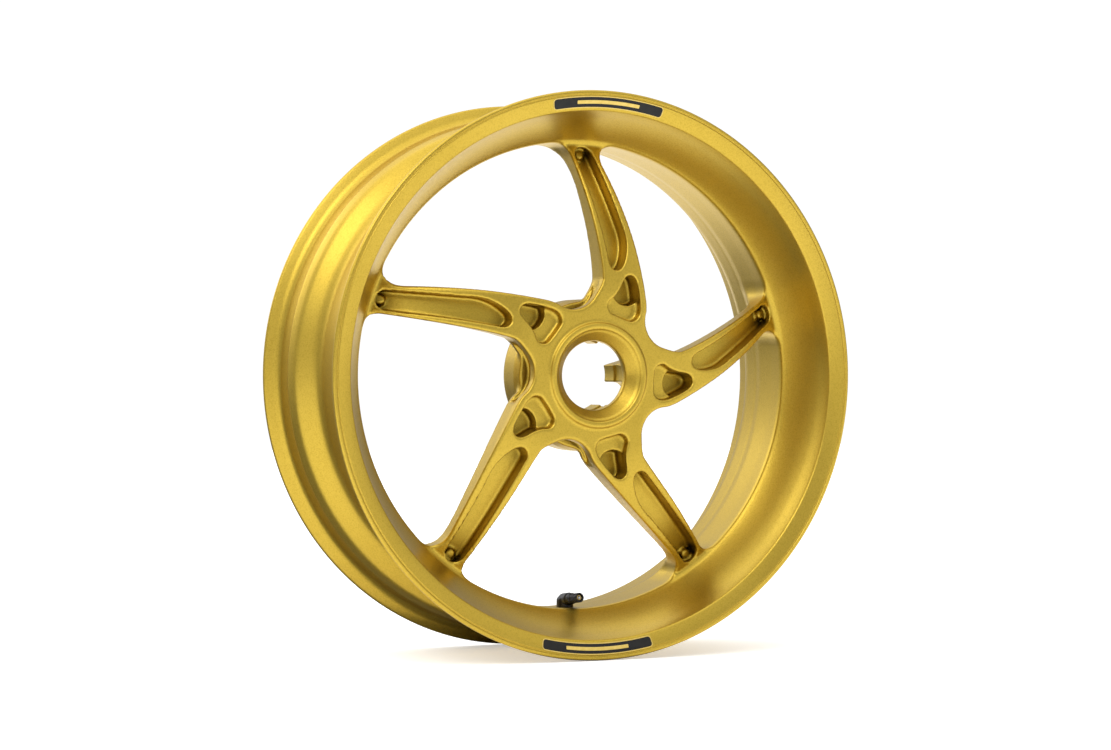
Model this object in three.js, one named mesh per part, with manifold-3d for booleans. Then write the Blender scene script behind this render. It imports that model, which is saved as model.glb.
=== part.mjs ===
// Forged one-piece motorcycle rear wheel, 6.00 x 17 inch, five curved spokes, single-sided swingarm hub.
// Millimetres. The wheel turns about Y, its visible face looks towards -Y, and Z points up.

import * as THREE from "three";
import { mergeVertices } from "three/addons/utils/BufferGeometryUtils.js";
import Module from "manifold-3d";

const wasm = await Module();
wasm.setup();

// ---------- Driving dimensions ----------

// Tyre seat, as the 17 inch motorcycle rim standard has it
const beadRadius = 218.3;
const beadHalfWidth = 76.2;
const flangeHeight = 14;
const flangeThickness = 8.45;
const flangeDraft = 3.8;
const flangeTipHeight = 2.4;
const humpHeight = 1.2;
const beadSeatWidth = 13.7;
const beadCorner = 3;
const beadTaper = 1.6;

// Front lip with the flat band that carries the labels
const flangeRoll = 4.6;
const bandWidth = 12.4;
const bandRise = 4.15;

// Barrel between the two tyre seats
const wellDepth = 20.5;
const wallThickness = 4.2;
const frontWellEdge = -24;
const rearWellEdge = 16;
const shoulderInset = 26.5;
const shoulderDrop = 2;
const rearLipThickness = 4.2;
const rearLipChamfer = 1.4;

// Disc of the spokes and the hub
const spokeCount = 5;
const spokeAngle = 88.5;
const windowStep = 1;
const windowEdgeY = -36.8;
const faceY = -79;
const faceFlatRadius = 65;
const faceCrown = 185;
const rearFaceY = -52.5;
const spokeFlareY = 13;
const barrelOverlap = 2.5;

// Openings between the spokes
const scallopDistance = 79.7;
const scallopAngle = 17.5;
const scallopRadius = 23;
const scallopStart = 235.6;
const scallopEnd = 151;

// Pockets in the front of each spoke
const spokePocketDepth = 15;
const spokePocketEndInset = 11.6;
const spokePocketEndRadius = 8;
const padRadius = 4.4;
const padInset = 9.2;
const padDrop = 8.8;
const hubPocketDepth = 8;
const hubPocketFloorY = -54;

// Hub
const hubLipY = -81.8;
const boreRadius = 28.3;
const seatWidth = 9.9;
const seatDepth = 11.8;
const hubLipWidth = 4.1;
const hubLipFoot = 3.2;
const hubPlateThickness = 15;
const drumRadius = 62.5;
const drumFrontY = -59;
const drumRearY = -28;
const drumWall = 13;
const drumEdge = 2;
const ribThickness = 11;
const ribPocketCorner = 10;
const undercutY = -70;
const undercutReach = 3.8;
const grooveY = -57;
const grooveWidth = 9;
const grooveDepth = 2.2;

// Valve
const valveY = -13.8;
const valveSpotMargin = 1.9;
const valveSpotDepth = 0.6;
const valveHeadRadius = 7.05;
const valveHeadHeight = 11.4;
const valveHeadEdge = 3.4;
const valveChamfer = 0.5;
const valveShankRadius = 4.1;
const valveShankLength = 13;
const valveStemAngle = 7;
const valveStemRise = 7.4;
const valveStemRadius = 4.05;
const valveStemLength = 29.5;
const stemFootRise = 1.35;
const stemFootLength = 9.5;
const stemNeckRise = 0.25;
const stemRingRise = 0.6;
const stemRingStart = 13.4;
const stemRingWidth = 1.8;
const stemGrooveWidth = 1.6;
const stemGrooveDepth = 0.5;
const valveBoreRadius = 2.75;
const valveAirRadius = 1.3;
const sealSection = 1.1;
const sealMargin = 1.2;
const sealSeatRise = 0.9;
const washerLand = 3.2;
const washerThickness = 1.4;
const nutAcrossFlats = 12;
const nutHeight = 5;

// Valve core
const coreRecess = 1.2;
const coreHeadLength = 5;
const coreHeadStep = 0.5;
const coreHeadNeck = 1.6;
const coreBarrelLength = 9;
const coreBarrelStep = 0.55;
const coreWall = 0.65;
const coreSealStart = 1;
const coreSealLength = 2.2;
const coreSealSeat = 0.3;
const coreFootLength = 0.8;
const pinRadius = 0.45;
const pinTipLength = 1.2;
const pinShoulder = 0.4;
const pinProud = 0.4;
const pinTail = 1;
const cupLength = 1.6;
const cupSealLength = 0.8;
const cupSealInset = 0.1;
const springWire = 0.3;
const springTurns = 6;
const pinTravel = 1.2;

// Labels
const labelInnerMargin = 2;
const labelOuterMargin = 1.1;
const labelHalfAngle = 12.8;
const labelCorner = 3;
const labelThickness = 0.35;
const labelAngles = { label_upper: 88.1, label_lower: 269.3 };

// Fit between pieces that touch, how far a cutter runs clear, and the number of flats on a round face
const fitGap = 0.3;
const clearance = 20;
const wheelFacets = 50;
const hubFacets = 40;
const valveFacets = 32;
const coreFacets = 20;

const radians = THREE.MathUtils.degToRad;
const halfWidth = beadHalfWidth + flangeThickness;
const flangeRadius = beadRadius + flangeHeight;
const bandOuterRadius = flangeRadius - flangeRoll;
const bandInnerRadius = bandOuterRadius - bandWidth;
const wellRadius = beadRadius - wellDepth;
const barrelRadius = wellRadius - wallThickness;
const windowRadius = barrelRadius - windowStep;
const discRadius = windowRadius + barrelOverlap;
const spokeMiddle = (faceFlatRadius + windowRadius) / 2;
const seatRadius = boreRadius + seatWidth;
const hubLipRadius = seatRadius + hubLipWidth;
const hubLipFootRadius = hubLipRadius + hubLipFoot;
const drumBoreRadius = drumRadius - drumWall;
const valveHoleRadius = valveShankRadius + fitGap;
const sealRingRadius = valveHoleRadius + sealMargin;
const washerRadius = valveHoleRadius + washerLand;
const valveSpotRadius = Math.max(washerRadius, valveHeadRadius) + valveSpotMargin;

// ---------- Materials ----------

const gold = new THREE.MeshStandardMaterial({ color: 0xc9a53a, roughness: 0.42, metalness: 0.9 });
const blackAlloy = new THREE.MeshStandardMaterial({ color: 0x17171a, roughness: 0.35, metalness: 0.8 });
const blackFilm = new THREE.MeshStandardMaterial({ color: 0x121110, roughness: 0.5, metalness: 0 });
const rubber = new THREE.MeshStandardMaterial({ color: 0x1a1a1a, roughness: 0.8, metalness: 0 });
const brass = new THREE.MeshStandardMaterial({ color: 0xc8a24e, roughness: 0.35, metalness: 1 });
const steel = new THREE.MeshStandardMaterial({ color: 0xb9bcc0, roughness: 0.3, metalness: 1 });
const whitePlastic = new THREE.MeshStandardMaterial({ color: 0xe8e6df, roughness: 0.6, metalness: 0 });

// ---------- Solids ----------

// A closed geometry as a manifold solid, without the slivers that a lathe leaves on its axis.
function solidOf(geometry) {
  const bare = geometry.clone();
  bare.deleteAttribute("normal");
  bare.deleteAttribute("uv");
  const merged = mergeVertices(bare, 1e-4);
  const triangles = [];
  const index = merged.index.array;
  for (let i = 0; i < index.length; i += 3) {
    const [a, b, c] = [index[i], index[i + 1], index[i + 2]];
    if (a !== b && b !== c && c !== a) triangles.push(a, b, c);
  }
  return new wasm.Manifold(
    new wasm.Mesh({
      numProp: 3,
      vertProperties: merged.attributes.position.array,
      triVerts: new Uint32Array(triangles),
    }),
  );
}

function geometryOf(solid) {
  const mesh = solid.getMesh();
  const geometry = new THREE.BufferGeometry();
  geometry.setAttribute("position", new THREE.BufferAttribute(mesh.vertProperties, 3));
  geometry.setIndex(new THREE.BufferAttribute(mesh.triVerts, 1));
  geometry.computeVertexNormals();
  return geometry;
}

// Turns a closed outline of [radius, y] points about Y, whichever way round the outline is listed.
function lathe(points, facets) {
  const closed = points.map(([r, y]) => new THREE.Vector2(r, y));
  if (THREE.ShapeUtils.area(closed) < 0) closed.reverse();
  closed.push(closed[0].clone());
  return solidOf(new THREE.LatheGeometry(closed, facets));
}

// Turns a closed path of lines and curves about Y.
function lathePath(path, curveSteps, facets) {
  const points = path.getPoints(curveSteps).map((p) => [p.x, p.y]);
  const [first, last] = [points[0], points[points.length - 1]];
  if (Math.hypot(first[0] - last[0], first[1] - last[1]) < 1e-6) points.pop();
  return lathe(points, facets);
}

// A shape drawn in X and Z, extruded along Y from y0 to y1.
function prism(shape, y0, y1, curveSteps) {
  const options = { depth: y1 - y0, bevelEnabled: false, curveSegments: curveSteps };
  const geometry = new THREE.ExtrudeGeometry(shape, options);
  geometry.rotateX(Math.PI / 2);
  geometry.translate(0, y1, 0);
  return solidOf(geometry);
}

// The solid turned about Y so that what lies along +X points to the given angle from +X towards +Z.
const turned = (solid, degrees) => solid.rotate([0, -degrees, 0]);

const spokeDirections = Array.from({ length: spokeCount }, (_, k) => spokeAngle + (k * 360) / spokeCount);
const aroundWheel = (solid) => spokeDirections.map((angle) => turned(solid, angle));
const cutAll = (solid, pieces) => pieces.reduce((rest, piece) => rest.subtract(piece), solid);

// A point given in the next spoke's own frame, in this spoke's frame.
function onNextSpoke(u, v) {
  const a = radians(360 / spokeCount);
  return [u * Math.cos(a) - v * Math.sin(a), u * Math.sin(a) + v * Math.cos(a)];
}

// ---------- Rim barrel ----------

function rimBarrel() {
  const shoulderRadius = beadRadius - shoulderDrop;
  const shoulderY = beadHalfWidth - shoulderInset;
  const seatEnd = beadHalfWidth - beadCorner;
  const seatStart = seatEnd - beadSeatWidth;
  const seatSmall = beadRadius - beadTaper / 2;
  const seatLarge = beadRadius + beadTaper / 2;
  const flankRadius = (shoulderRadius + wellRadius) / 2;
  const flangeFoot = beadHalfWidth + flangeDraft;
  const lipInner = seatLarge - rearLipThickness;
  const path = new THREE.Path();
  // tyre side, from the front flange to the rear one
  path.moveTo(bandOuterRadius, -halfWidth);
  path.quadraticCurveTo(flangeRadius, -halfWidth, flangeRadius, -halfWidth + flangeTipHeight);
  path.lineTo(flangeRadius - 1.6, -flangeFoot);
  path.lineTo(seatLarge + 2, -beadHalfWidth);
  path.lineTo(seatLarge, -seatEnd);
  path.lineTo(seatSmall, -seatStart);
  path.lineTo(seatSmall + humpHeight, -seatStart + 2);
  path.lineTo(shoulderRadius, -shoulderY);
  path.quadraticCurveTo(shoulderRadius - 9, -shoulderY + 5, flankRadius, -shoulderY + 12);
  path.quadraticCurveTo(wellRadius, frontWellEdge - 6, wellRadius, frontWellEdge);
  path.lineTo(wellRadius, rearWellEdge);
  path.quadraticCurveTo(wellRadius + 1.2, shoulderY - 20.5, wellRadius + 5.6, shoulderY - 15);
  path.lineTo(shoulderRadius - 4.8, shoulderY - 7);
  path.quadraticCurveTo(shoulderRadius - 0.6, shoulderY - 2, shoulderRadius + 0.8, shoulderY + 5);
  path.lineTo(seatSmall + humpHeight, seatStart - 2);
  path.lineTo(seatSmall, seatStart);
  path.lineTo(seatLarge, seatEnd);
  path.lineTo(seatLarge + 2, beadHalfWidth);
  path.lineTo(flangeRadius - 1.6, flangeFoot);
  path.lineTo(flangeRadius, halfWidth - flangeTipHeight);
  path.quadraticCurveTo(flangeRadius, halfWidth, bandOuterRadius, halfWidth);
  // rear lip and the inside of the barrel, back to the front
  path.lineTo(beadRadius, halfWidth);
  path.lineTo(beadRadius - rearLipChamfer, halfWidth - flangeTipHeight);
  path.lineTo(lipInner + 0.9, seatEnd - 1);
  path.quadraticCurveTo(lipInner - 0.8, shoulderY + 8, shoulderRadius - 5.5, shoulderY + 2);
  path.lineTo(wellRadius + 4.6, shoulderY - 6.5);
  path.quadraticCurveTo(wellRadius + 1, shoulderY - 11, wellRadius - 1.8, shoulderY - 22.5);
  path.lineTo(barrelRadius + 0.6, rearWellEdge - 2.5);
  path.lineTo(barrelRadius, windowEdgeY + 0.8);
  // concave front dish up to the lip
  const lipY = -halfWidth + bandRise + 1;
  path.splineThru([
    new THREE.Vector2(barrelRadius + 7, windowEdgeY + 0.21 * (lipY - windowEdgeY)),
    new THREE.Vector2(bandInnerRadius - 3.4, windowEdgeY + 0.7 * (lipY - windowEdgeY)),
  ]);
  path.lineTo(bandInnerRadius, lipY);
  path.lineTo(bandInnerRadius + 0.9, lipY - 1);
  path.lineTo(bandOuterRadius - 0.8, -halfWidth + 0.5);
  return lathePath(path, 2, wheelFacets);
}

// ---------- Spokes ----------

// Height of the crowned front face over the wheel's radius
function frontFace(radius) {
  const beyond = Math.max(0, radius - faceFlatRadius);
  return faceY + (beyond * beyond) / (2 * faceCrown);
}

// Outline of the crowned front face, from the bore to the barrel
function crownedFront() {
  const steps = 6;
  const front = [[boreRadius, faceY]];
  for (let i = 0; i <= steps; i += 1) {
    const r = faceFlatRadius + ((discRadius - faceFlatRadius) * i) / steps;
    front.push([r, frontFace(r)]);
  }
  return front;
}

// Everything in front of a surface that lies a given depth behind the crowned face
function inFrontOf(depth) {
  const floor = crownedFront().map(([r, y]) => [r, y + depth]);
  const clear = faceY - clearance;
  return lathe([...floor, [discRadius, clear], [boreRadius, clear]], hubFacets);
}

function spokeDisc() {
  const rear = new THREE.SplineCurve([
    new THREE.Vector2(discRadius, spokeFlareY),
    new THREE.Vector2(windowRadius - 3.5, spokeFlareY - 16),
    new THREE.Vector2(windowRadius - 12, spokeFlareY - 31),
    new THREE.Vector2(windowRadius - 29, rearFaceY + 18),
    new THREE.Vector2(windowRadius - 54, rearFaceY + 8.5),
    new THREE.Vector2(spokeMiddle - 31.8, rearFaceY + 0.8),
    new THREE.Vector2(drumRadius - 2, rearFaceY),
  ]);
  const back = rear.getPoints(7).map((p) => [p.x, p.y]);
  back.push([boreRadius, rearFaceY]);
  return lathe([...crownedFront(), ...back], wheelFacets);
}

// Outline of the opening between one spoke's upper side and the next spoke's lower side
function windowShape() {
  const shape = new THREE.Shape();
  const centre = [
    scallopDistance * Math.cos(radians(scallopAngle)),
    scallopDistance * Math.sin(radians(scallopAngle)),
  ];
  const onScallop = (degrees) => [
    centre[0] + scallopRadius * Math.cos(radians(degrees)),
    centre[1] + scallopRadius * Math.sin(radians(degrees)),
  ];
  const onRim = (v) => Math.sqrt(windowRadius * windowRadius - v * v);
  shape.moveTo(...onScallop(scallopStart));
  shape.quadraticCurveTo(75.3, -3.4, 80, -3.2);
  shape.quadraticCurveTo(spokeMiddle - 18.8, -1.8, windowRadius - 13.6, 13);
  shape.quadraticCurveTo(windowRadius - 2.1, 15.5, onRim(27.5), 27.5);
  const rimStart = Math.atan2(27.5, onRim(27.5));
  const rimEnd = radians(360 / spokeCount) - Math.atan2(29, onRim(29));
  shape.absarc(0, 0, windowRadius, rimStart, rimEnd, false);
  shape.quadraticCurveTo(...onNextSpoke(windowRadius - 6.6, -12.6), ...onNextSpoke(windowRadius - 20.6, -16.8));
  shape.quadraticCurveTo(...onNextSpoke(spokeMiddle - 16.8, -34.8), ...onNextSpoke(62, -42.6));
  shape.quadraticCurveTo(...onNextSpoke(54, -43.4), ...onScallop(scallopEnd));
  shape.absarc(...centre, scallopRadius, radians(scallopEnd), radians(scallopStart), false);
  return shape;
}

// Slot milled under the face plate along each scallop
function undercutShape() {
  const shape = new THREE.Shape();
  const a = radians(scallopAngle);
  const [x, z] = [scallopDistance * Math.cos(a), scallopDistance * Math.sin(a)];
  shape.absarc(x, z, scallopRadius + undercutReach, 0, 2 * Math.PI, false);
  return shape;
}

// Long pocket down the front of a spoke, narrow and round at the rim end, skewed at the hub end
function spokePocketShape() {
  const endU = windowRadius - spokePocketEndInset;
  const r = spokePocketEndRadius;
  const shape = new THREE.Shape();
  shape.moveTo(endU, -r - 0.4);
  shape.quadraticCurveTo(spokeMiddle + 17.2, -17.4, spokeMiddle - 8.8, -24.8);
  shape.quadraticCurveTo(106, -28.6, 91, -22);
  shape.quadraticCurveTo(86, -19.2, 86.3, -15);
  shape.quadraticCurveTo(86.8, -9.2, 93, -8.5);
  shape.quadraticCurveTo(spokeMiddle + 1.2, -3.4, endU - 3, r);
  shape.absarc(endU, 0, r, radians(90), radians(-90), true);
  return shape;
}

// Rounded triangle next to the hub, and the deeper hollow in its outer half
function hubPocketShape() {
  const shape = new THREE.Shape();
  shape.moveTo(61.5, -9.6);
  shape.quadraticCurveTo(66, -16, 76, -20.4);
  shape.quadraticCurveTo(82.4, -23.4, 82.4, -28);
  shape.quadraticCurveTo(82, -33.2, 75, -34.6);
  shape.quadraticCurveTo(66, -36.6, 56, -37.2);
  shape.quadraticCurveTo(45.6, -37, 44.6, -28.6);
  shape.quadraticCurveTo(46.6, -21, 49.4, -14);
  shape.quadraticCurveTo(51, -7.6, 57, -7.6);
  shape.quadraticCurveTo(60, -7.6, 61.5, -9.6);
  return shape;
}

function hubHollowShape() {
  const shape = new THREE.Shape();
  shape.moveTo(68, -17.4);
  shape.quadraticCurveTo(72, -18.6, 76, -20.4);
  shape.quadraticCurveTo(82.4, -23.4, 82.4, -28);
  shape.quadraticCurveTo(82, -33.2, 75, -34.6);
  shape.quadraticCurveTo(69, -36, 62, -36.6);
  shape.quadraticCurveTo(58.4, -34, 57.8, -28.6);
  shape.quadraticCurveTo(58.4, -18.6, 68, -17.4);
  return shape;
}

function circleShape(u, v, radius) {
  const shape = new THREE.Shape();
  shape.absarc(u, v, radius, 0, 2 * Math.PI, false);
  return shape;
}

function spokePocket() {
  const pocket = prism(spokePocketShape(), faceY - clearance, 0, 4).intersect(inFrontOf(spokePocketDepth));
  const pad = prism(circleShape(windowRadius - padInset, 0, padRadius), faceY - clearance, 0, 6);
  return pocket.subtract(pad.subtract(inFrontOf(padDrop)));
}

function hubPocket() {
  const shallow = prism(hubPocketShape(), faceY - clearance, faceY + hubPocketDepth, 3);
  return shallow.add(prism(hubHollowShape(), faceY - clearance, hubPocketFloorY, 3));
}

// ---------- Hub ----------

function hubCore() {
  const coreRadius = scallopDistance - scallopRadius - 1;
  return lathe(
    [
      [boreRadius, drumRearY],
      [boreRadius, hubLipY + seatDepth],
      [seatRadius, hubLipY],
      [hubLipRadius, hubLipY],
      [hubLipFootRadius, faceY],
      [coreRadius, faceY],
      [coreRadius, drumRearY],
    ],
    hubFacets,
  );
}

function drum() {
  return lathe(
    [
      [drumBoreRadius, drumFrontY],
      [drumRadius - drumEdge, drumFrontY],
      [drumRadius, drumFrontY + 5 * drumEdge],
      [drumRadius, drumRearY - drumEdge],
      [drumRadius - drumEdge, drumRearY],
      [drumBoreRadius, drumRearY],
    ],
    hubFacets,
  );
}

// Hollow between two of the hub's inner ribs, open to the bore and to the rear
function ribPocketShape() {
  const half = ribThickness / 2;
  const step = radians(360 / spokeCount);
  const inner = boreRadius - ribThickness / 2;
  const outer = drumBoreRadius;
  const startAngle = Math.asin((half + ribPocketCorner) / (outer - ribPocketCorner));
  const foot = (r) => Math.sqrt(r * r - half * half);
  const mirrored = (x, z) => [x * Math.cos(step) + z * Math.sin(step), x * Math.sin(step) - z * Math.cos(step)];
  const cornerCentre = (outer - ribPocketCorner) * Math.cos(startAngle);
  const shape = new THREE.Shape();
  shape.moveTo(foot(inner), half);
  shape.lineTo(cornerCentre, half);
  shape.quadraticCurveTo(
    foot(outer) - 0.6,
    half,
    outer * Math.cos(startAngle),
    outer * Math.sin(startAngle),
  );
  shape.absarc(0, 0, outer, startAngle, step - startAngle, false);
  shape.quadraticCurveTo(...mirrored(foot(outer) - 0.6, half), ...mirrored(cornerCentre, half));
  shape.lineTo(...mirrored(foot(inner), half));
  shape.lineTo(foot(inner), half);
  return shape;
}

function boreCutter() {
  return lathe(
    [
      [0, hubLipY - clearance],
      [seatRadius, hubLipY - clearance],
      [seatRadius, hubLipY],
      [boreRadius, hubLipY + seatDepth],
      [boreRadius, grooveY],
      [boreRadius + grooveDepth, grooveY],
      [boreRadius + grooveDepth, grooveY + grooveWidth],
      [boreRadius, grooveY + grooveWidth],
      [boreRadius, drumRearY + clearance],
      [0, drumRearY + clearance],
    ],
    hubFacets,
  );
}

// ---------- The forging ----------

// Upright cylinder at the valve's place, between two heights
function atValve(radius, z0, z1) {
  const cylinder = new THREE.CylinderGeometry(radius, radius, z1 - z0, valveFacets);
  cylinder.rotateX(Math.PI / 2);
  cylinder.translate(0, valveY, (z0 + z1) / 2);
  return solidOf(cylinder);
}

// Valve hole through the barrel, with a flat spot for the seal on the hub side and one for the washer
function valveHole() {
  const sealSpotZ = -barrelRadius - valveSpotDepth;
  const washerSpotZ = -wellRadius + valveSpotDepth;
  const hole = atValve(valveHoleRadius, washerSpotZ - clearance, sealSpotZ + clearance);
  const sealSpot = atValve(valveSpotRadius, sealSpotZ, sealSpotZ + clearance);
  const washerSpot = atValve(valveSpotRadius, washerSpotZ - clearance, washerSpotZ);
  return hole.add(sealSpot).add(washerSpot);
}

function wheelForging() {
  const openings = aroundWheel(prism(windowShape(), faceY - clearance, spokeFlareY + clearance, 5));
  let forging = cutAll(spokeDisc(), openings);
  forging = forging.add(hubCore());
  forging = cutAll(forging, aroundWheel(prism(undercutShape(), undercutY, drumFrontY, 8)));
  forging = forging.add(drum());
  forging = cutAll(forging, aroundWheel(hubPocket()));
  forging = cutAll(forging, aroundWheel(spokePocket()));
  const ribPocket = prism(ribPocketShape(), faceY + hubPlateThickness, drumRearY + clearance, 3);
  const ribAngles = Array.from({ length: spokeCount }, (_, k) => (k * 360) / spokeCount);
  forging = cutAll(forging, ribAngles.map((angle) => turned(ribPocket, angle)));
  forging = forging.subtract(boreCutter());
  return forging.add(rimBarrel()).subtract(valveHole());
}

// ---------- Labels ----------

// Black film on the front band: a rounded strip cut from a thin cone that follows the band
function label(angle) {
  const slope = bandRise / (bandOuterRadius - bandInnerRadius);
  const bandY = (r) => -halfWidth + (bandOuterRadius - r) * slope;
  const [innerEdge, outerEdge] = [bandInnerRadius + 1, bandOuterRadius - 0.6];
  const labelInnerRadius = bandInnerRadius + labelInnerMargin;
  const labelOuterRadius = bandOuterRadius - labelOuterMargin;
  const lift = fitGap * 1.2;
  const film = lathe(
    [
      [innerEdge, bandY(innerEdge) - lift],
      [outerEdge, bandY(outerEdge) - lift],
      [outerEdge, bandY(outerEdge) - lift - labelThickness],
      [innerEdge, bandY(innerEdge) - lift - labelThickness],
    ],
    wheelFacets * 2,
  );
  const half = radians(labelHalfAngle);
  const at = (r, a) => [r * Math.cos(a), r * Math.sin(a)];
  const turn = labelCorner / labelOuterRadius;
  const shape = new THREE.Shape();
  shape.moveTo(...at(labelOuterRadius, -half + turn));
  shape.absarc(0, 0, labelOuterRadius, -half + turn, half - turn, false);
  shape.quadraticCurveTo(...at(labelOuterRadius, half), ...at(labelOuterRadius - labelCorner, half));
  shape.lineTo(...at(labelInnerRadius + labelCorner, half));
  shape.quadraticCurveTo(...at(labelInnerRadius, half), ...at(labelInnerRadius, half - turn));
  shape.absarc(0, 0, labelInnerRadius, half - turn, -half + turn, true);
  shape.quadraticCurveTo(...at(labelInnerRadius, -half), ...at(labelInnerRadius + labelCorner, -half));
  shape.lineTo(...at(labelOuterRadius - labelCorner, -half));
  shape.quadraticCurveTo(...at(labelOuterRadius, -half), ...at(labelOuterRadius, -half + turn));
  return turned(film.intersect(prism(shape, -halfWidth - 5, 0, 14)), angle);
}

// ---------- Valve ----------

// Valve pieces are drawn with the rim wall's hub-side spot face at z = 0 and the hub towards +Z.
// Turned pieces are drawn along Z, as [radius, z] outlines.
function turning(points, facets) {
  const outline = points.map(([r, z]) => [r, -z]);
  return lathe(outline, facets).rotate([90, 0, 0]).mirror([0, 0, 1]).mirror([0, 1, 0]);
}

// Wall left between the two spot faces of the valve hole
const seatedWall = wallThickness - 2 * valveSpotDepth;

function stemPlaced(solid) {
  return solid.rotate([90 - valveStemAngle, 0, 0]).translate([0, 0, valveStemRise]);
}

function valveBody() {
  const boreEnd = valveStemLength - coreRecess + pinEnd - pinTravel - valveAirRadius;
  const head = turning(
    [
      [0, fitGap],
      [valveHeadRadius - valveChamfer, fitGap],
      [valveHeadRadius, fitGap + valveChamfer],
      [valveHeadRadius, valveHeadHeight - valveHeadEdge],
      [valveHeadRadius - valveHeadEdge, valveHeadHeight],
      [0, valveHeadHeight],
    ],
    valveFacets,
  );
  const shank = turning(
    [
      [0, 2 * fitGap],
      [valveShankRadius, 2 * fitGap],
      [valveShankRadius, -valveShankLength + valveChamfer],
      [valveShankRadius - valveChamfer, -valveShankLength],
      [0, -valveShankLength],
    ],
    valveFacets,
  );
  const stemFootRadius = valveStemRadius + stemFootRise;
  const stemNeckRadius = valveStemRadius + stemNeckRise;
  const stemRingEnd = stemRingStart + stemRingWidth;
  const stemGrooveStart = stemRingEnd + valveChamfer;
  const stemGrooveEnd = stemGrooveStart + stemGrooveWidth;
  const stem = turning(
    [
      [0, 0],
      [stemFootRadius, 0],
      [stemFootRadius, stemFootLength],
      [stemNeckRadius, stemFootLength + stemFootRise],
      [stemNeckRadius, stemRingStart - valveChamfer],
      [valveStemRadius + stemRingRise, stemRingStart],
      [valveStemRadius + stemRingRise, stemRingEnd],
      [valveStemRadius - stemGrooveDepth, stemGrooveStart],
      [valveStemRadius - stemGrooveDepth, stemGrooveEnd],
      [valveStemRadius, stemGrooveEnd + valveChamfer],
      [valveStemRadius, valveStemLength - valveChamfer],
      [valveStemRadius - valveChamfer, valveStemLength],
      [0, valveStemLength],
    ],
    valveFacets,
  );
  const bore = turning(
    [
      [0, valveStemLength + clearance],
      [valveBoreRadius, valveStemLength + clearance],
      [valveBoreRadius, boreEnd],
      [valveAirRadius, boreEnd - valveAirRadius],
      [valveAirRadius, 0],
      [0, 0],
    ],
    valveFacets,
  );
  const airway = turning(
    [
      [0, valveStemRise],
      [valveAirRadius, valveStemRise],
      [valveAirRadius, -valveShankLength - clearance],
      [0, -valveShankLength - clearance],
    ],
    valveFacets,
  );
  const groove = ring(sealRingRadius, sealSection + fitGap, sealSeatRise);
  return head.add(shank).add(stemPlaced(stem)).subtract(stemPlaced(bore)).subtract(airway).subtract(groove);
}

// A round-section ring about Z
function ring(radius, sectionRadius, z) {
  const torus = new THREE.TorusGeometry(radius, sectionRadius, 12, valveFacets);
  torus.translate(0, 0, z);
  return solidOf(torus);
}

function valveWasher() {
  const top = -seatedWall - fitGap;
  return turning(
    [
      [valveHoleRadius, top],
      [washerRadius, top],
      [washerRadius, top - washerThickness],
      [valveHoleRadius, top - washerThickness],
    ],
    valveFacets,
  );
}

function valveNut() {
  const top = -seatedWall - 2 * fitGap - washerThickness;
  const cornerRadius = nutAcrossFlats / Math.sqrt(3);
  const hexagon = new THREE.CylinderGeometry(cornerRadius, cornerRadius, nutHeight, 6);
  const thread = new THREE.CylinderGeometry(valveHoleRadius, valveHoleRadius, nutHeight * 2, valveFacets);
  return solidOf(hexagon).subtract(solidOf(thread)).rotate([90, 0, 0]).translate([0, 0, top - nutHeight / 2]);
}

// ---------- Valve core, drawn along Z with its outer end at z = 0 and the tyre side towards -Z ----------

function corePlaced(solid) {
  return stemPlaced(solid.translate([0, 0, valveStemLength - coreRecess]));
}

const coreHeadRadius = valveBoreRadius - fitGap;
const coreBarrelRadius = coreHeadRadius - coreBarrelStep;
const corePassage = coreBarrelRadius - coreWall;
const coreFootRadius = pinRadius + fitGap;
const pinTipRadius = corePassage - fitGap;
const cupRadius = coreBarrelRadius - fitGap;
const headEnd = -coreHeadLength;
const barrelStart = headEnd - fitGap;
const barrelEnd = barrelStart - coreBarrelLength;
const cupSealTop = barrelEnd - fitGap;
const cupBodyTop = cupSealTop - cupSealLength - fitGap;
const pinEnd = cupBodyTop - cupLength - pinTail;

function coreHead() {
  return turning(
    [
      [corePassage, 0],
      [coreHeadRadius - coreHeadStep, 0],
      [coreHeadRadius - coreHeadStep, -coreHeadNeck],
      [coreHeadRadius, -coreHeadNeck - coreHeadStep],
      [coreHeadRadius, headEnd],
      [corePassage, headEnd],
    ],
    coreFacets,
  );
}

function coreBarrel() {
  const sealTop = barrelStart - coreSealStart;
  const sealBottom = sealTop - coreSealLength - 2 * fitGap;
  const neck = coreBarrelRadius - coreSealSeat;
  return turning(
    [
      [corePassage, barrelStart],
      [coreBarrelRadius, barrelStart],
      [coreBarrelRadius, sealTop],
      [neck, sealTop],
      [neck, sealBottom],
      [coreBarrelRadius, sealBottom],
      [coreBarrelRadius, barrelEnd],
      [coreFootRadius, barrelEnd],
      [coreFootRadius, barrelEnd + coreFootLength],
      [corePassage, barrelEnd + coreFootLength],
    ],
    coreFacets,
  );
}

function coreSeal() {
  const top = barrelStart - coreSealStart - fitGap;
  const inner = coreBarrelRadius - coreSealSeat + fitGap;
  return turning(
    [
      [inner, top],
      [valveBoreRadius - fitGap, top],
      [valveBoreRadius - fitGap, top - coreSealLength],
      [inner, top - coreSealLength],
    ],
    coreFacets,
  );
}

function corePin() {
  return turning(
    [
      [0, pinProud],
      [pinTipRadius, pinProud],
      [pinTipRadius, pinProud - pinTipLength],
      [pinRadius, pinProud - pinTipLength - pinShoulder],
      [pinRadius, pinEnd],
      [0, pinEnd],
    ],
    coreFacets,
  );
}

function coreCup() {
  return turning(
    [
      [coreFootRadius, cupBodyTop],
      [cupRadius, cupBodyTop],
      [cupRadius, cupBodyTop - cupLength],
      [coreFootRadius, cupBodyTop - cupLength],
    ],
    coreFacets,
  );
}

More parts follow.
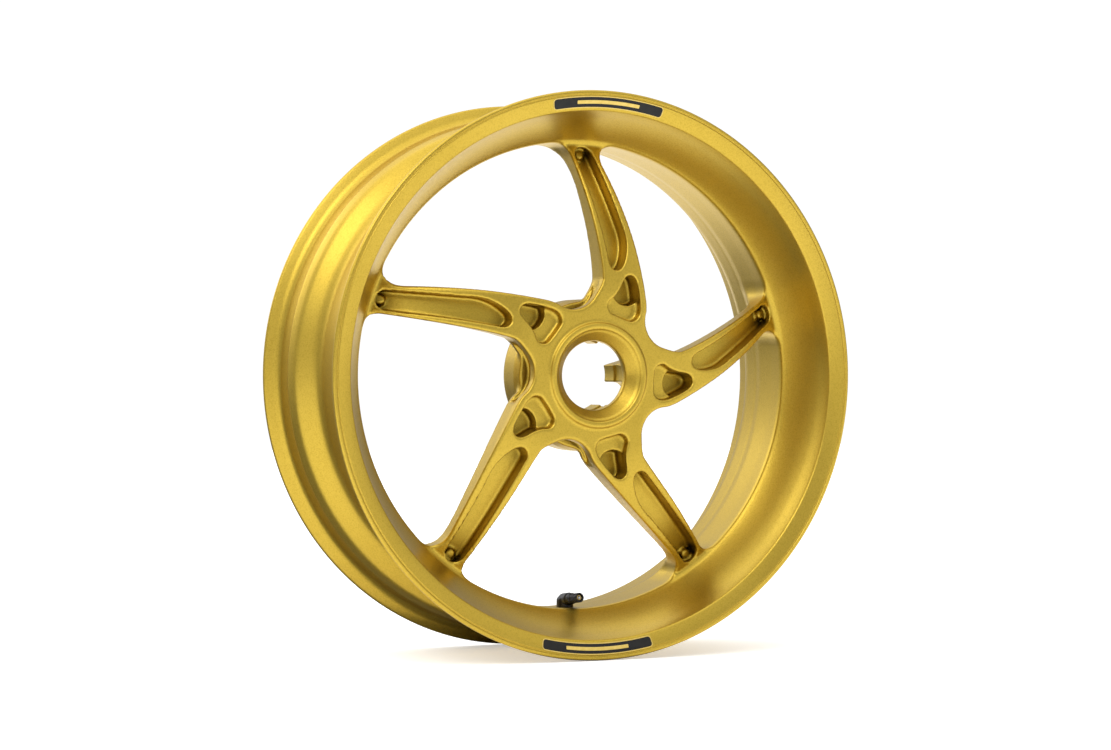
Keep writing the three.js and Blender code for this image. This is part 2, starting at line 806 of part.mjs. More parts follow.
function coreCupSeal() {
  return turning(
    [
      [coreFootRadius, cupSealTop],
      [cupRadius - cupSealInset, cupSealTop],
      [cupRadius - cupSealInset, cupSealTop - cupSealLength],
      [coreFootRadius, cupSealTop - cupSealLength],
    ],
    coreFacets,
  );
}

// Return spring: a helix of round wire between the pin's tip and the foot of the barrel's passage
function coreSpring() {
  const top = pinProud - pinTipLength - fitGap - springWire / 2;
  const bottom = barrelEnd + coreFootLength + fitGap + springWire / 2;
  const coil = (pinRadius + corePassage) / 2;
  class Helix extends THREE.Curve {
    getPoint(t, target = new THREE.Vector3()) {
      const a = 2 * Math.PI * springTurns * t;
      return target.set(coil * Math.cos(a), coil * Math.sin(a), top + (bottom - top) * t);
    }
  }
  const wire = new THREE.Shape();
  const wireRadius = springWire / 2;
  for (let i = 0; i < 6; i += 1) {
    const a = (i * Math.PI) / 3;
    const [x, y] = [wireRadius * Math.cos(a), wireRadius * Math.sin(a)];
    if (i === 0) wire.moveTo(x, y);
    else wire.lineTo(x, y);
  }
  wire.closePath();
  const options = { extrudePath: new Helix(), steps: springTurns * 14, bevelEnabled: false };
  return solidOf(new THREE.ExtrudeGeometry(wire, options));
}

// ---------- Assembly ----------

function meshOf(name, solid, material) {
  const mesh = new THREE.Mesh(geometryOf(solid), material);
  mesh.name = name;
  return mesh;
}

const wheel = new THREE.Group();
wheel.add(meshOf("wheel_forging", wheelForging(), gold));
for (const [name, angle] of Object.entries(labelAngles)) {
  wheel.add(meshOf(name, label(angle), blackFilm));
}

const valve = new THREE.Group();
valve.position.set(0, valveY, -barrelRadius - valveSpotDepth);
valve.add(meshOf("valve_body", valveBody(), blackAlloy));
valve.add(meshOf("valve_seal_ring", ring(sealRingRadius, sealSection - fitGap / 2, sealSeatRise + fitGap), rubber));
valve.add(meshOf("valve_washer", valveWasher(), steel));
valve.add(meshOf("valve_nut", valveNut(), steel));
valve.add(meshOf("valve_core_head", corePlaced(coreHead()), brass));
valve.add(meshOf("valve_core_barrel", corePlaced(coreBarrel()), brass));
valve.add(meshOf("valve_core_seal", corePlaced(coreSeal()), whitePlastic));
valve.add(meshOf("valve_core_pin", corePlaced(corePin()), steel));
valve.add(meshOf("valve_core_cup", corePlaced(coreCup()), brass));
valve.add(meshOf("valve_core_cup_seal", corePlaced(coreCupSeal()), rubber));
valve.add(meshOf("valve_core_spring", corePlaced(coreSpring()), steel));
wheel.add(valve);

export default wheel;
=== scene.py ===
"""Looks of the forged motorcycle wheel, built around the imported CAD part.

Shapes are worked out in millimetres in the part's own frame (spin axis along Y, visible face towards -Y, Z up) and
turned into metres when a mesh is made.
"""

import math

import bmesh
import bpy
import numpy as np
from mathutils import Matrix, Vector


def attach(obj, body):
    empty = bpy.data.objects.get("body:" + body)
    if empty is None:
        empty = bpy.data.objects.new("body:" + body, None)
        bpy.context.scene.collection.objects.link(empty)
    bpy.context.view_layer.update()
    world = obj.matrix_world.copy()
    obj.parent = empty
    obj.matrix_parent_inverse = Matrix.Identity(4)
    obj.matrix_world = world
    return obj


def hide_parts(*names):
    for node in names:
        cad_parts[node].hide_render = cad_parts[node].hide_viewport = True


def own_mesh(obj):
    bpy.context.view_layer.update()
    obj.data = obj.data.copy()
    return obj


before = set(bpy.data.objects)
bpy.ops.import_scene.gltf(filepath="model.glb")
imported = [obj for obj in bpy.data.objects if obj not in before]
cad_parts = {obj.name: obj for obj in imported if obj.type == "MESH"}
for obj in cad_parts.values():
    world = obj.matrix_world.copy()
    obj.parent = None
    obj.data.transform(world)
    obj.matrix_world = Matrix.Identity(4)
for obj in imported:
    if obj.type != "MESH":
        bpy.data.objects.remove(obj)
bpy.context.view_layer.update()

MM = 0.001

# ---------- Sizes shared by the shapes, in millimetres ----------

SPOKES = 5
SECTOR = 2 * math.pi / SPOKES
SPOKE_ANGLE = math.radians(88.5)
RIB_ANGLE = 0.0

WINDOW_R = 192.6
WINDOW_EDGE_Y = -36.8
BARREL_R = 193.6
FACE_Y = -79.0
FACE_FLAT_R = 65.0
FACE_CROWN = 370.0

SCALLOP_DISTANCE = 79.7
SCALLOP_ANGLE = 17.5
SCALLOP_R = 23.0
UNDERCUT_R = 26.8

HUB_LIP_Y = -81.8
SEAT_R = 38.2
BORE_R = 28.3
SEAT_DEPTH = 11.8
DRUM_R = 62.5
DRUM_BORE_R = 49.5
DRUM_FRONT_Y = -59.0
DRUM_REAR_Y = -28.0
RIB_POCKET_FLOOR_Y = -64.0
RIB_END_R = 29.3

SPOKE_POCKET_DEPTH = 15.0
HUB_POCKET_DEPTH = 8.0
HUB_HOLLOW_FLOOR_Y = -59.5
DRAFT_START_Y = -70.0
DRAFT_SLOPE = 0.06
DRAFT_LIMIT = 3.0
UNDERCUT_Y = -64.5
UNDERCUT_HALF_HEIGHT = 5.5
LIP_R = 40.1
LIP_HALF_WIDTH = 2.6
LIP_Y = -77.0
LIP_HALF_HEIGHT = 4.8
PAD_R = 4.4
PAD_U = 183.4
PAD_Y = -32.6
PAD_TILT = math.radians(25)

SEAM_R = 200.0
SEAM_Y = 28.0

# ---------- Outlines ----------


def quad(p0, p1, p2, steps=10):
    """Points on a quadratic curve, without its last one."""
    t = np.linspace(0, 1, steps, endpoint=False)[:, None]
    p0, p1, p2 = (np.array(p, float) for p in (p0, p1, p2))
    return (1 - t) ** 2 * p0 + 2 * t * (1 - t) * p1 + t * t * p2


def arc(centre, radius, start, end, steps=16):
    """Points on an arc between two angles in degrees, without its last one."""
    a = np.radians(np.linspace(start, end, steps, endpoint=False))
    return np.c_[centre[0] + radius * np.cos(a), centre[1] + radius * np.sin(a)]


def rotated(points, angle):
    c, s = math.cos(angle), math.sin(angle)
    p = np.atleast_2d(np.array(points, float))
    return np.c_[p[:, 0] * c - p[:, 1] * s, p[:, 0] * s + p[:, 1] * c]


def chain(*pieces):
    return np.vstack([np.atleast_2d(p) for p in pieces])


def on_next(u, v):
    return rotated((u, v), SECTOR)[0]


SCALLOP_CENTRE = SCALLOP_DISTANCE * np.array(
    [math.cos(math.radians(SCALLOP_ANGLE)), math.sin(math.radians(SCALLOP_ANGLE))]
)


def window_outline():
    """Opening from this spoke's upper side round to the next spoke's lower side."""
    on_scallop = lambda degrees: arc(SCALLOP_CENTRE, SCALLOP_R, degrees, degrees + 1, 1)[0]
    on_rim = lambda v: math.sqrt(WINDOW_R**2 - v * v)
    lower, upper = 27.5, -29.0
    start = math.degrees(math.asin(lower / WINDOW_R))
    end = 72 + math.degrees(math.asin(upper / WINDOW_R))
    rim_corner = (WINDOW_R - 13.6, 13.0)
    next_corner = on_next(WINDOW_R - 20.6, -16.8)
    next_foot = on_next(62.0, -42.6)
    return chain(
        quad(on_scallop(235.6), (75.3, -3.4), (80.0, -3.2), 5),
        quad((80.0, -3.2), (110.0, -1.8), rim_corner, 10),
        quad(rim_corner, (WINDOW_R - 2.1, 15.5), (on_rim(lower), lower), 10),
        arc((0, 0), WINDOW_R, start, end, 40),
        quad(on_next(on_rim(upper), upper), on_next(WINDOW_R - 6.6, -12.6), next_corner, 10),
        quad(next_corner, on_next(112.0, -34.8), next_foot, 10),
        quad(next_foot, on_next(54.0, -43.4), on_scallop(151), 6),
        arc(SCALLOP_CENTRE, SCALLOP_R, 151, 235.6, 16),
    )


def spoke_pocket_outline():
    """Long pocket down the front of a spoke."""
    return chain(
        quad((181.0, -8.4), (146.0, -17.4), (120.0, -24.4), 10),
        quad((120.0, -24.4), (106.0, -28.4), (91.5, -22.2), 8),
        quad((91.5, -22.2), (86.2, -19.2), (86.2, -15.4), 6),
        quad((86.2, -15.4), (86.6, -9.4), (93.0, -8.5), 7),
        quad((93.0, -8.5), (130.0, -3.2), (178.0, 8.2), 10),
        arc((180.6, 0.0), 8.0, 92, -84, 14),
    )


def hub_pocket_outline():
    """Rounded triangle beside the hub."""
    return chain(
        quad((61.5, -9.6), (66.0, -16.2), (76.0, -20.4), 8),
        quad((76.0, -20.4), (82.4, -23.4), (82.4, -28.0), 7),
        quad((82.4, -28.0), (82.0, -33.2), (75.0, -34.6), 7),
        quad((75.0, -34.6), (66.0, -36.6), (56.0, -37.2), 6),
        quad((56.0, -37.2), (45.6, -37.0), (44.6, -28.6), 8),
        quad((44.6, -28.6), (46.6, -21.0), (49.4, -14.0), 6),
        quad((49.4, -14.0), (51.0, -7.6), (57.0, -7.6), 7),
        quad((57.0, -7.6), (60.0, -7.6), (61.5, -9.6), 4),
    )


def hub_hollow_outline():
    """Deeper outer part of the hub pocket."""
    return chain(
        quad((66.0, -15.6), (71.0, -18.6), (76.0, -20.4), 6),
        quad((76.0, -20.4), (82.4, -23.4), (82.4, -28.0), 7),
        quad((82.4, -28.0), (82.0, -33.2), (75.0, -34.6), 7),
        quad((75.0, -34.6), (69.0, -36.0), (62.0, -36.6), 5),
        quad((62.0, -36.6), (58.2, -33.6), (57.8, -28.6), 5),
        quad((57.8, -28.6), (58.6, -18.6), (66.0, -15.6), 8),
    )


def rib_pocket_outline():
    """Hollow between two inner ribs of the hub, open to the bore, about the middle between them."""
    half_angle, half_rib, corner = SECTOR / 2, 5.5, 10.0
    inner, outer = 20.0, DRUM_BORE_R
    lean = math.asin((half_rib + corner) / (outer - corner))
    corner_u = (outer - corner) * math.cos(lean)
    one = chain(
        (inner, half_rib),
        arc((corner_u, half_rib + corner), corner, -90, math.degrees(lean), 10),
    )
    one = rotated(one, -half_angle)
    other = one[::-1] * [1, -1]
    lean_out = half_angle - lean
    rim = arc((0, 0), outer, -math.degrees(lean_out), math.degrees(lean_out), 12)
    return chain(one, rim, other)


# ---------- Distances ----------

POINTS_AT_ONCE = 20000


def distance_to_outline(points, outline):
    """Signed distance from 2-D points to a closed outline, negative inside."""
    a = outline
    b = np.roll(outline, -1, axis=0)
    d = b - a
    dd = np.maximum((d * d).sum(1), 1e-12)
    out = np.empty(len(points))
    for i in range(0, len(points), POINTS_AT_ONCE):
        p = points[i : i + POINTS_AT_ONCE]
        px, py = p[:, 0][:, None] - a[:, 0], p[:, 1][:, None] - a[:, 1]
        t = np.clip((px * d[:, 0] + py * d[:, 1]) / dd, 0, 1)
        ex, ey = px - t * d[:, 0], py - t * d[:, 1]
        nearest = np.sqrt((ex * ex + ey * ey).min(1))
        between = (a[:, 1] > p[:, 1][:, None]) != (b[:, 1] > p[:, 1][:, None])
        with np.errstate(divide="ignore", invalid="ignore"):
            cross = a[:, 0] + (p[:, 1][:, None] - a[:, 1]) * d[:, 0] / d[:, 1]
        inside = (between & (p[:, 0][:, None] < cross)).sum(1) % 2 == 1
        out[i : i + POINTS_AT_ONCE] = np.where(inside, -nearest, nearest)
    return out


class PlaneField:
    """Distance to an outline in the wheel's plane, repeated for every spoke, looked up on a fine polar grid."""

    R0, R1, DR = 24.0, 206.0, 0.5
    A_STEPS = 288

    def __init__(self, outline):
        r = np.arange(self.R0, self.R1 + self.DR, self.DR)
        phi = np.arange(self.A_STEPS) * SECTOR / self.A_STEPS
        rr, pp = np.meshgrid(r, phi, indexing="ij")
        best = None
        for turn in (-SECTOR, 0.0, SECTOR):
            flat = np.c_[(rr * np.cos(pp + turn)).ravel(), (rr * np.sin(pp + turn)).ravel()]
            d = distance_to_outline(flat, outline)
            best = d if best is None else np.minimum(best, d)
        self.table = best.reshape(rr.shape)

    def __call__(self, r, phi):
        fr = np.clip((r - self.R0) / self.DR, 0, self.table.shape[0] - 1.001)
        fa = np.mod(phi, SECTOR) / SECTOR * self.A_STEPS
        i, j = fr.astype(int), fa.astype(int) % self.A_STEPS
        a, b = fr - i, fa - np.floor(fa)
        j1 = (j + 1) % self.A_STEPS
        t = self.table
        low = t[i, j] * (1 - b) + t[i, j1] * b
        high = t[i + 1, j] * (1 - b) + t[i + 1, j1] * b
        return low * (1 - a) + high * a


class ProfileField:
    """Distance to a closed outline in radius and y, looked up on a fine grid."""

    R0, R1, Y0, Y1, STEP = 18.0, 216.0, -96.0, 44.0, 0.5

    def __init__(self, outline):
        r = np.arange(self.R0, self.R1, self.STEP)
        y = np.arange(self.Y0, self.Y1, self.STEP)
        rr, yy = np.meshgrid(r, y, indexing="ij")
        flat = np.c_[rr.ravel(), yy.ravel()]
        self.table = distance_to_outline(flat, np.array(outline, float)).reshape(rr.shape)

    def __call__(self, r, y):
        fr = np.clip((r - self.R0) / self.STEP, 0, self.table.shape[0] - 1.001)
        fy = np.clip((y - self.Y0) / self.STEP, 0, self.table.shape[1] - 1.001)
        i, j = fr.astype(int), fy.astype(int)
        a, b = fr - i, fy - j
        t = self.table
        low = t[i, j] * (1 - b) + t[i, j + 1] * b
        high = t[i + 1, j] * (1 - b) + t[i + 1, j + 1] * b
        return low * (1 - a) + high * a


def both(a, b, radius):
    """What lies in both solids, its edge rounded."""
    u, v = np.maximum(radius + a, 0), np.maximum(radius + b, 0)
    return np.minimum(-radius, np.maximum(a, b)) + np.hypot(u, v)


def either(a, b, radius):
    """What lies in one solid or the other, the corner between them filled."""
    u, v = np.maximum(radius - a, 0), np.maximum(radius - b, 0)
    return np.maximum(radius, np.minimum(a, b)) - np.hypot(u, v)


def without(a, b, radius):
    return both(a, -b, radius)


# ---------- The inner side of the rim barrel, from the front seam to the rear one ----------

DISH_STEPS = 40

def front_face(r):
    return FACE_Y + np.maximum(r - FACE_FLAT_R, 0) ** 2 / FACE_CROWN


def dish_curve():
    """The concave front dish, from the windows' edge out to the label band."""
    knots = np.array(
        [(193.2, -37.4), (196.4, -41.0), (200.4, -46.3), (205.6, -54.8), (210.6, -66.0), (213.8, -76.0), (215.1, -79.8)]
    )
    return smooth_curve(knots, DISH_STEPS)


def smooth_curve(knots, steps):
    """A curve through the knots, evenly stepped between them."""
    n = len(knots)
    chord = np.r_[0, np.cumsum(np.hypot(*np.diff(knots, axis=0).T))]
    slopes = np.gradient(knots, chord, axis=0)
    t = np.linspace(0, chord[-1], steps)
    k = np.clip(np.searchsorted(chord, t, side="right") - 1, 0, n - 2)
    h = (chord[k + 1] - chord[k])[:, None]
    s = ((t - chord[k])[:, None]) / h
    p0, p1, m0, m1 = knots[k], knots[k + 1], slopes[k] * h, slopes[k + 1] * h
    h00, h10 = 2 * s**3 - 3 * s**2 + 1, s**3 - 2 * s**2 + s
    h01, h11 = -2 * s**3 + 3 * s**2, s**3 - s**2
    return h00 * p0 + h10 * m0 + h01 * p1 + h11 * m1


def barrel_inside():
    """Everything outside the barrel's inner surface, as an outline in radius and y."""
    dish = dish_curve()
    return chain(
        [(230.0, 60.0), (230.0, -100.0), (215.4, -100.0)],
        dish[::-1],
        [(193.2, -36.2), (BARREL_R + 0.6, 13.5), (195.1, SEAM_Y), (196.4, 60.0)],
    )


# ---------- The spokes and the hub ----------


class Forging:
    """Distance field of the spokes, hub and inner barrel, in cylindrical coordinates about the first spoke."""

    def __init__(self):
        self.window = PlaneField(window_outline())
        self.spoke_pocket = PlaneField(spoke_pocket_outline())
        self.hub_pocket = PlaneField(hub_pocket_outline())
        self.hub_hollow = PlaneField(hub_hollow_outline())
        middle = RIB_ANGLE + SECTOR / 2 - SPOKE_ANGLE
        self.rib_pocket = PlaneField(rotated(rib_pocket_outline(), middle))
        self.undercut = PlaneField(arc(SCALLOP_CENTRE, UNDERCUT_R, 0, 360, 48))
        self.plate = ProfileField(self.plate_outline())
        self.core = ProfileField(self.core_outline())
        self.bore = ProfileField(self.bore_outline())
        self.barrel = ProfileField(barrel_inside())

    @staticmethod
    def plate_outline():
        r = np.linspace(FACE_FLAT_R, 204, 36)
        front = np.c_[r, front_face(r)]
        rear_knots = np.array(
            [(204.0, 17.0), (189.0, -3.4), (180.6, -18.0), (163.6, -34.4), (138.6, -44.0), (97.0, -51.7), (60.5, -53.0)]
        )
        lip = [(22.0, FACE_Y), (45.5, FACE_Y)]
        return chain(lip, front, smooth_curve(rear_knots, 30), [(22.0, -53.0)])

    @staticmethod
    def core_outline():
        return [
            (22.0, FACE_Y + 5),
            (55.7, FACE_Y + 5),
            (55.7, DRUM_FRONT_Y),
            (60.5, DRUM_FRONT_Y),
            (DRUM_R, -49.0),
            (DRUM_R, DRUM_REAR_Y),
            (22.0, DRUM_REAR_Y),
        ]

    @staticmethod
    def bore_outline():
        return [
            (-5.0, -110.0),
            (SEAT_R, -110.0),
            (SEAT_R, HUB_LIP_Y),
            (BORE_R, HUB_LIP_Y + SEAT_DEPTH),
            (BORE_R, RIB_POCKET_FLOOR_Y),
            (RIB_END_R, RIB_POCKET_FLOOR_Y),
            (RIB_END_R, -57.0),
            (BORE_R + 2.6, -57.0),
            (BORE_R + 2.6, -48.0),
            (RIB_END_R, -48.0),
            (RIB_END_R, 0.0),
            (-5.0, 0.0),
        ]

    def __call__(self, r, phi, y):
        phi = np.asarray(phi)
        # plate of the spokes, with its crowned front and its openings
        window = self.window(r, phi)
        plate = self.plate(r, y)
        draft = np.clip((y - DRAFT_START_Y) * DRAFT_SLOPE, 0, DRAFT_LIMIT)
        solid = without(plate, window - draft, 1.6)
        # drum and ribs behind the plate
        core = both(self.core(r, y), y - DRUM_REAR_Y, 1.8)
        solid = either(solid, core, 3.0)
        slot = both(self.undercut(r, phi), np.abs(y - UNDERCUT_Y) - UNDERCUT_HALF_HEIGHT, 1.5)
        solid = without(solid, slot, 0.8)
        # raised seat around the bore
        lip = both(np.abs(r - LIP_R) - LIP_HALF_WIDTH, np.abs(y - LIP_Y) - LIP_HALF_HEIGHT, 0.7)
        solid = either(solid, lip, 2.2)
        # pockets from the front
        pocket = both(self.spoke_pocket(r, phi), y - front_face(r) - SPOKE_POCKET_DEPTH, 2.4)
        u, v = r * np.cos(phi), r * np.sin(phi)
        across = (u - PAD_U) * math.cos(PAD_TILT) + (y - PAD_Y) * math.sin(PAD_TILT)
        height = -(u - PAD_U) * math.sin(PAD_TILT) + (y - PAD_Y) * math.cos(PAD_TILT)
        # the pad's outer side runs into the end of the pocket
        pad = both(np.hypot(np.minimum(across, 0), v) - PAD_R, -height, 1.6)
        pocket = without(pocket, pad, 2.2)
        solid = without(solid, pocket, 1.0)
        shallow = both(self.hub_pocket(r, phi), y - FACE_Y - HUB_POCKET_DEPTH, 3.2)
        hollow = both(self.hub_hollow(r, phi), y - HUB_HOLLOW_FLOOR_Y, 2.6)
        solid = without(solid, either(shallow, hollow, 0.3), 1.1)
        # hollows between the ribs, and the bore
        ribs = both(self.rib_pocket(r, phi), RIB_POCKET_FLOOR_Y - y, 2.0)
        solid = without(solid, ribs, 0.9)
        solid = without(solid, self.bore(r, y), 0.7)
        return either(solid, self.barrel(r, y), 5.0)


# ---------- Mesh of the distance field ----------


def surface_net(field, r, phi, y):
    """Quads on the field's zero surface, on a grid that closes on itself in phi."""
    rr, pp, yy = np.meshgrid(r, phi, y, indexing="ij")
    value = field(rr.ravel(), pp.ravel(), yy.ravel()).reshape(rr.shape)
    period = len(phi)
    value = np.concatenate([value, value[:, :1]], axis=1)
    step = phi[1] - phi[0]
    phi_all = np.r_[phi, phi[-1] + step]
    inside = value < 0
    corners = [(i, j, k) for i in (0, 1) for j in (0, 1) for k in (0, 1)]
    shape = tuple(n - 1 for n in value.shape)
    block = lambda a, i, j, k: a[i : i + shape[0], j : j + shape[1], k : k + shape[2]]
    count = sum(block(inside, *c).astype(int) for c in corners)
    mixed = (count > 0) & (count < 8)
    cells = np.argwhere(mixed)
    number = -np.ones(shape, int)
    number[mixed] = np.arange(len(cells))
    # a vertex in each cell, at the middle of its edges' crossings
    total = np.zeros((len(cells), 3))
    hits = np.zeros(len(cells))
    base = cells.T
    axes = (r, phi_all, y)
    for a in corners:
        for axis in range(3):
            if a[axis]:
                continue
            b = list(a)
            b[axis] = 1
            va = value[base[0] + a[0], base[1] + a[1], base[2] + a[2]]
            vb = value[base[0] + b[0], base[1] + b[1], base[2] + b[2]]
            cut = (va < 0) != (vb < 0)
            t = np.where(cut, va / np.where(cut, va - vb, 1), 0)
            for n in range(3):
                low = axes[n][base[n] + a[n]]
                high = axes[n][base[n] + b[n]]
                total[:, n] += np.where(cut, low + t * (high - low), 0)
            hits += cut
    points = total / hits[:, None]
    # a quad round each grid edge that crosses the surface
    quads = []
    for axis in range(3):
        i1, i2 = (axis + 1) % 3, (axis + 2) % 3
        size = list(value.shape)
        size[axis] -= 1
        size[1] = min(size[1], period)
        grids = np.indices(size).reshape(3, -1)
        other = grids.copy()
        other[axis] += 1
        sa = inside[tuple(grids)]
        sb = inside[tuple(other)]
        keep = sa != sb
        g, flip = grids[:, keep], sa[keep]
        ring = []
        valid = np.ones(g.shape[1], bool)
        for d1, d2 in ((1, 1), (0, 1), (0, 0), (1, 0)):
            c = g.copy()
            c[i1] -= d1
            c[i2] -= d2
            c[1] %= period
            for n in (0, 2):
                valid &= (c[n] >= 0) & (c[n] < shape[n])
                c[n] = np.clip(c[n], 0, shape[n] - 1)
            ring.append(number[tuple(c)])
        ring = np.stack(ring, 1)
        ring[flip] = ring[flip][:, ::-1]
        quads.append(ring[valid & (ring >= 0).all(1)])
    return points, np.vstack(quads), cells, shape


def settle(field, points, rounds=3, limit=1.2):
    """Moves points onto the field's zero surface."""
    for _ in range(rounds):
        r, phi, y = points.T
        here = field(r, phi, y)
        e = 0.05
        gr = (field(r + e, phi, y) - field(r - e, phi, y)) / (2 * e)
        gp = (field(r, phi + e / r, y) - field(r, phi - e / r, y)) / (2 * e)
        gy = (field(r, phi, y + e) - field(r, phi, y - e)) / (2 * e)
        size = np.maximum(gr * gr + gp * gp + gy * gy, 0.2)
        move = np.clip(here / size, -limit, limit)
        points = np.c_[r - move * gr, phi - move * gp / r, y - move * gy]
    return points


def relax(field, points, quads, fixed, rounds=4, share=0.5):
    """Evens out the quads, keeping the points on the surface."""
    count = np.zeros(len(points))
    for a in range(4):
        np.add.at(count, quads[:, a], 2)
    for _ in range(rounds):
        r, phi, y = points.T
        flat = np.c_[r * np.cos(phi), r * np.sin(phi), y]
        total = np.zeros_like(flat)
        for a in range(4):
            for b in ((a + 1) % 4, (a + 3) % 4):
                # neighbours across the sector's edge are turned next to this one
                other = points[quads[:, b]]
                turn = np.round((points[quads[:, a], 1] - other[:, 1]) / SECTOR) * SECTOR
                ang = other[:, 1] + turn
                near = np.c_[other[:, 0] * np.cos(ang), other[:, 0] * np.sin(ang), other[:, 2]]
                np.add.at(total, quads[:, a], near)
        mean = total / np.maximum(count, 1)[:, None]
        moved = flat + share * (mean - flat)
        moved[fixed] = flat[fixed]
        new_phi = np.arctan2(moved[:, 1], moved[:, 0])
        new_phi += np.round((phi - new_phi) / (2 * math.pi)) * 2 * math.pi
        new = np.c_[np.hypot(moved[:, 0], moved[:, 1]), new_phi, moved[:, 2]]
        new = settle(field, new, rounds=1)
        new[fixed] = points[fixed]
        points = new
    return points


def open_ends(quads, count):
    """Which points lie on an edge that only one quad uses."""
    edges = np.sort(np.vstack([quads[:, [a, (a + 1) % 4]] for a in range(4)]), axis=1)
    edges, uses = np.unique(edges, axis=0, return_counts=True)
    found = np.zeros(count, bool)
    found[edges[uses == 1].ravel()] = True
    return found


def merge_pairs(points, quads, cells, inner_r):
    """Joins neighbouring cells round the hub two by two, where they would be needlessly narrow."""
    near = points[:, 0] < inner_r
    key = cells.copy()
    key[near, 1] //= 2
    # single columns are numbered well past the paired ones
    key[~near, 1] += 100000
    _, first, back = np.unique(key, axis=0, return_index=True, return_inverse=True)
    back = back.ravel()
    total = np.zeros((len(first), 3))
    np.add.at(total, back, points)
    total /= np.bincount(back)[:, None]
    return total, back[quads], cells[first]


# ---------- The whole wheel as one mesh ----------

NET_COLUMNS = 96
NET_START = math.radians(-26)
HUB_MERGE_R = 62.0


def rounded_profile(corners, steps=5):
    """A profile through corners given as (radius, y, fillet), each fillet a quadratic curve."""
    c = [np.array(p[:2], float) for p in corners]
    out = [c[0]]
    for i in range(1, len(c) - 1):
        fillet = corners[i][2]
        a, b = c[i - 1] - c[i], c[i + 1] - c[i]
        la, lb = np.hypot(*a), np.hypot(*b)
        if fillet <= 0:
            out.append(c[i])
            continue
        reach = min(fillet, 0.48 * la, 0.48 * lb)
        p0, p2 = c[i] + a / la * reach, c[i] + b / lb * reach
        out.extend(quad(p0, c[i], p2, steps))
        out.append(p2)
    out.append(c[-1])
    return np.array(out)


def rim_profile(front_seam, rear_seam):
    """From the front seam on the dish, over the lip, along the tyre side and back inside to the rear seam."""
    dish = dish_curve()
    dish = dish[dish[:, 0] > front_seam[0] + 1.2][:-2]
    corners = [
        (215.3, -80.5, 1.2),
        (226.9, -84.38, 0.5),
        (227.4, -83.75, 0.3),
        (228.3, -83.85, 0.3),
        (228.7, -84.5, 0.5),
        (230.8, -84.4, 1.6),
        (231.8, -82.6, 1.4),
        (231.2, -80.2, 1.2),
        (223.0, -77.0, 3.4),
        (219.7, -73.4, 2.6),
        (217.6, -60.2, 1.2),
        (218.6, -58.6, 0.8),
        (218.4, -57.0, 0.8),
        (216.4, -49.0, 8.0),
        (203.5, -36.0, 12.0),
        (197.9, -22.0, 7.0),
        (197.8, 20.0, 8.0),
        (199.4, 36.5, 9.0),
        (211.0, 44.6, 4.0),
        (215.6, 48.6, 6.0),
        (218.4, 57.0, 0.8),
        (218.6, 58.6, 0.8),
        (217.6, 60.2, 1.2),
        (219.7, 73.4, 2.6),
        (223.0, 77.0, 3.4),
        (231.2, 80.2, 1.2),
        (231.8, 82.6, 1.4),
        (230.6, 84.6, 1.6),
        (218.8, 84.6, 1.0),
        (216.9, 82.6, 0.8),
        (214.9, 60.0, 6.0),
        (211.6, 51.4, 6.0),
        (203.6, 45.0, 5.0),
        (197.3, 36.4, 6.0),
        (195.7, 31.0, 0.4),
        tuple(rear_seam) + (0.0,),
    ]
    body = rounded_profile([tuple(dish[-1]) + (0.0,)] + corners, 3)
    return chain(dish[:-1], body[:-1])


def wheel_mesh():
    """Vertices and faces of the forging, in millimetres."""
    field = Forging()
    phi = NET_START + np.arange(NET_COLUMNS) * SECTOR / NET_COLUMNS
    r = np.r_[np.arange(26.0, 96.0, 1.4), np.arange(96.0, 172.0, 1.9), np.linspace(172.0, SEAM_R, 20)]
    y = np.linspace(-84.0, SEAM_Y, 76)
    points, quads, cells, shape = surface_net(field, r, phi, y)
    points = settle(field, points)
    points, quads, cells = merge_pairs(points, quads, cells, HUB_MERGE_R)
    seam = open_ends(quads, len(points))
    front = seam & (cells[:, 0] >= shape[0] - 1)
    rear = seam & (cells[:, 2] >= shape[2] - 1)
    points = relax(field, points, quads, seam)
    points = settle(field, points, rounds=2)
    # the seams are exact rings
    half = SECTOR / NET_COLUMNS / 2
    rings = []
    for mask in (front, rear):
        ring = np.flatnonzero(mask)
        ring = ring[np.argsort(cells[ring, 1])]
        points[ring, 0] = points[ring, 0].mean()
        points[ring, 2] = points[ring, 2].mean()
        points[ring, 1] = phi + half
        rings.append(ring)
    count = len(points)
    verts, faces = [], []
    for k in range(SPOKES):
        a = points[:, 1] + SPOKE_ANGLE + k * SECTOR
        verts.append(np.c_[points[:, 0] * np.cos(a), points[:, 2], points[:, 0] * np.sin(a)])
        turn = np.round((points[quads[:, :1], 1] - points[quads, 1]) / SECTOR).astype(int)
        faces.append(quads + ((k + turn) % SPOKES) * count)
    verts = list(np.vstack(verts))
    # a quad across the sector's edge uses the neighbour's vertices
    faces = list(np.vstack(faces))
    faces = [[v for n, v in enumerate(f) if v != f[n - 1]] for f in faces]
    faces = [f for f in faces if len(set(f)) > 2]
    # the rest of the rim is turned between the two seam rings
    whole = lambda ring: np.concatenate([ring + k * count for k in range(SPOKES)])
    last, end = whole(rings[0]), whole(rings[1])
    columns = SPOKES * NET_COLUMNS
    angle = SPOKE_ANGLE + NET_START + half + np.arange(columns) * SECTOR / NET_COLUMNS
    front_seam = points[rings[0][0]][[0, 2]]
    rear_seam = points[rings[1][0]][[0, 2]]
    for radius, height in rim_profile(front_seam, rear_seam):
        ring = len(verts) + np.arange(columns)
        verts.extend(np.c_[radius * np.cos(angle), np.full(columns, height), radius * np.sin(angle)])
        faces.extend(band(last, ring))
        last = ring
    faces.extend(band(last, end))
    return np.array(verts), faces


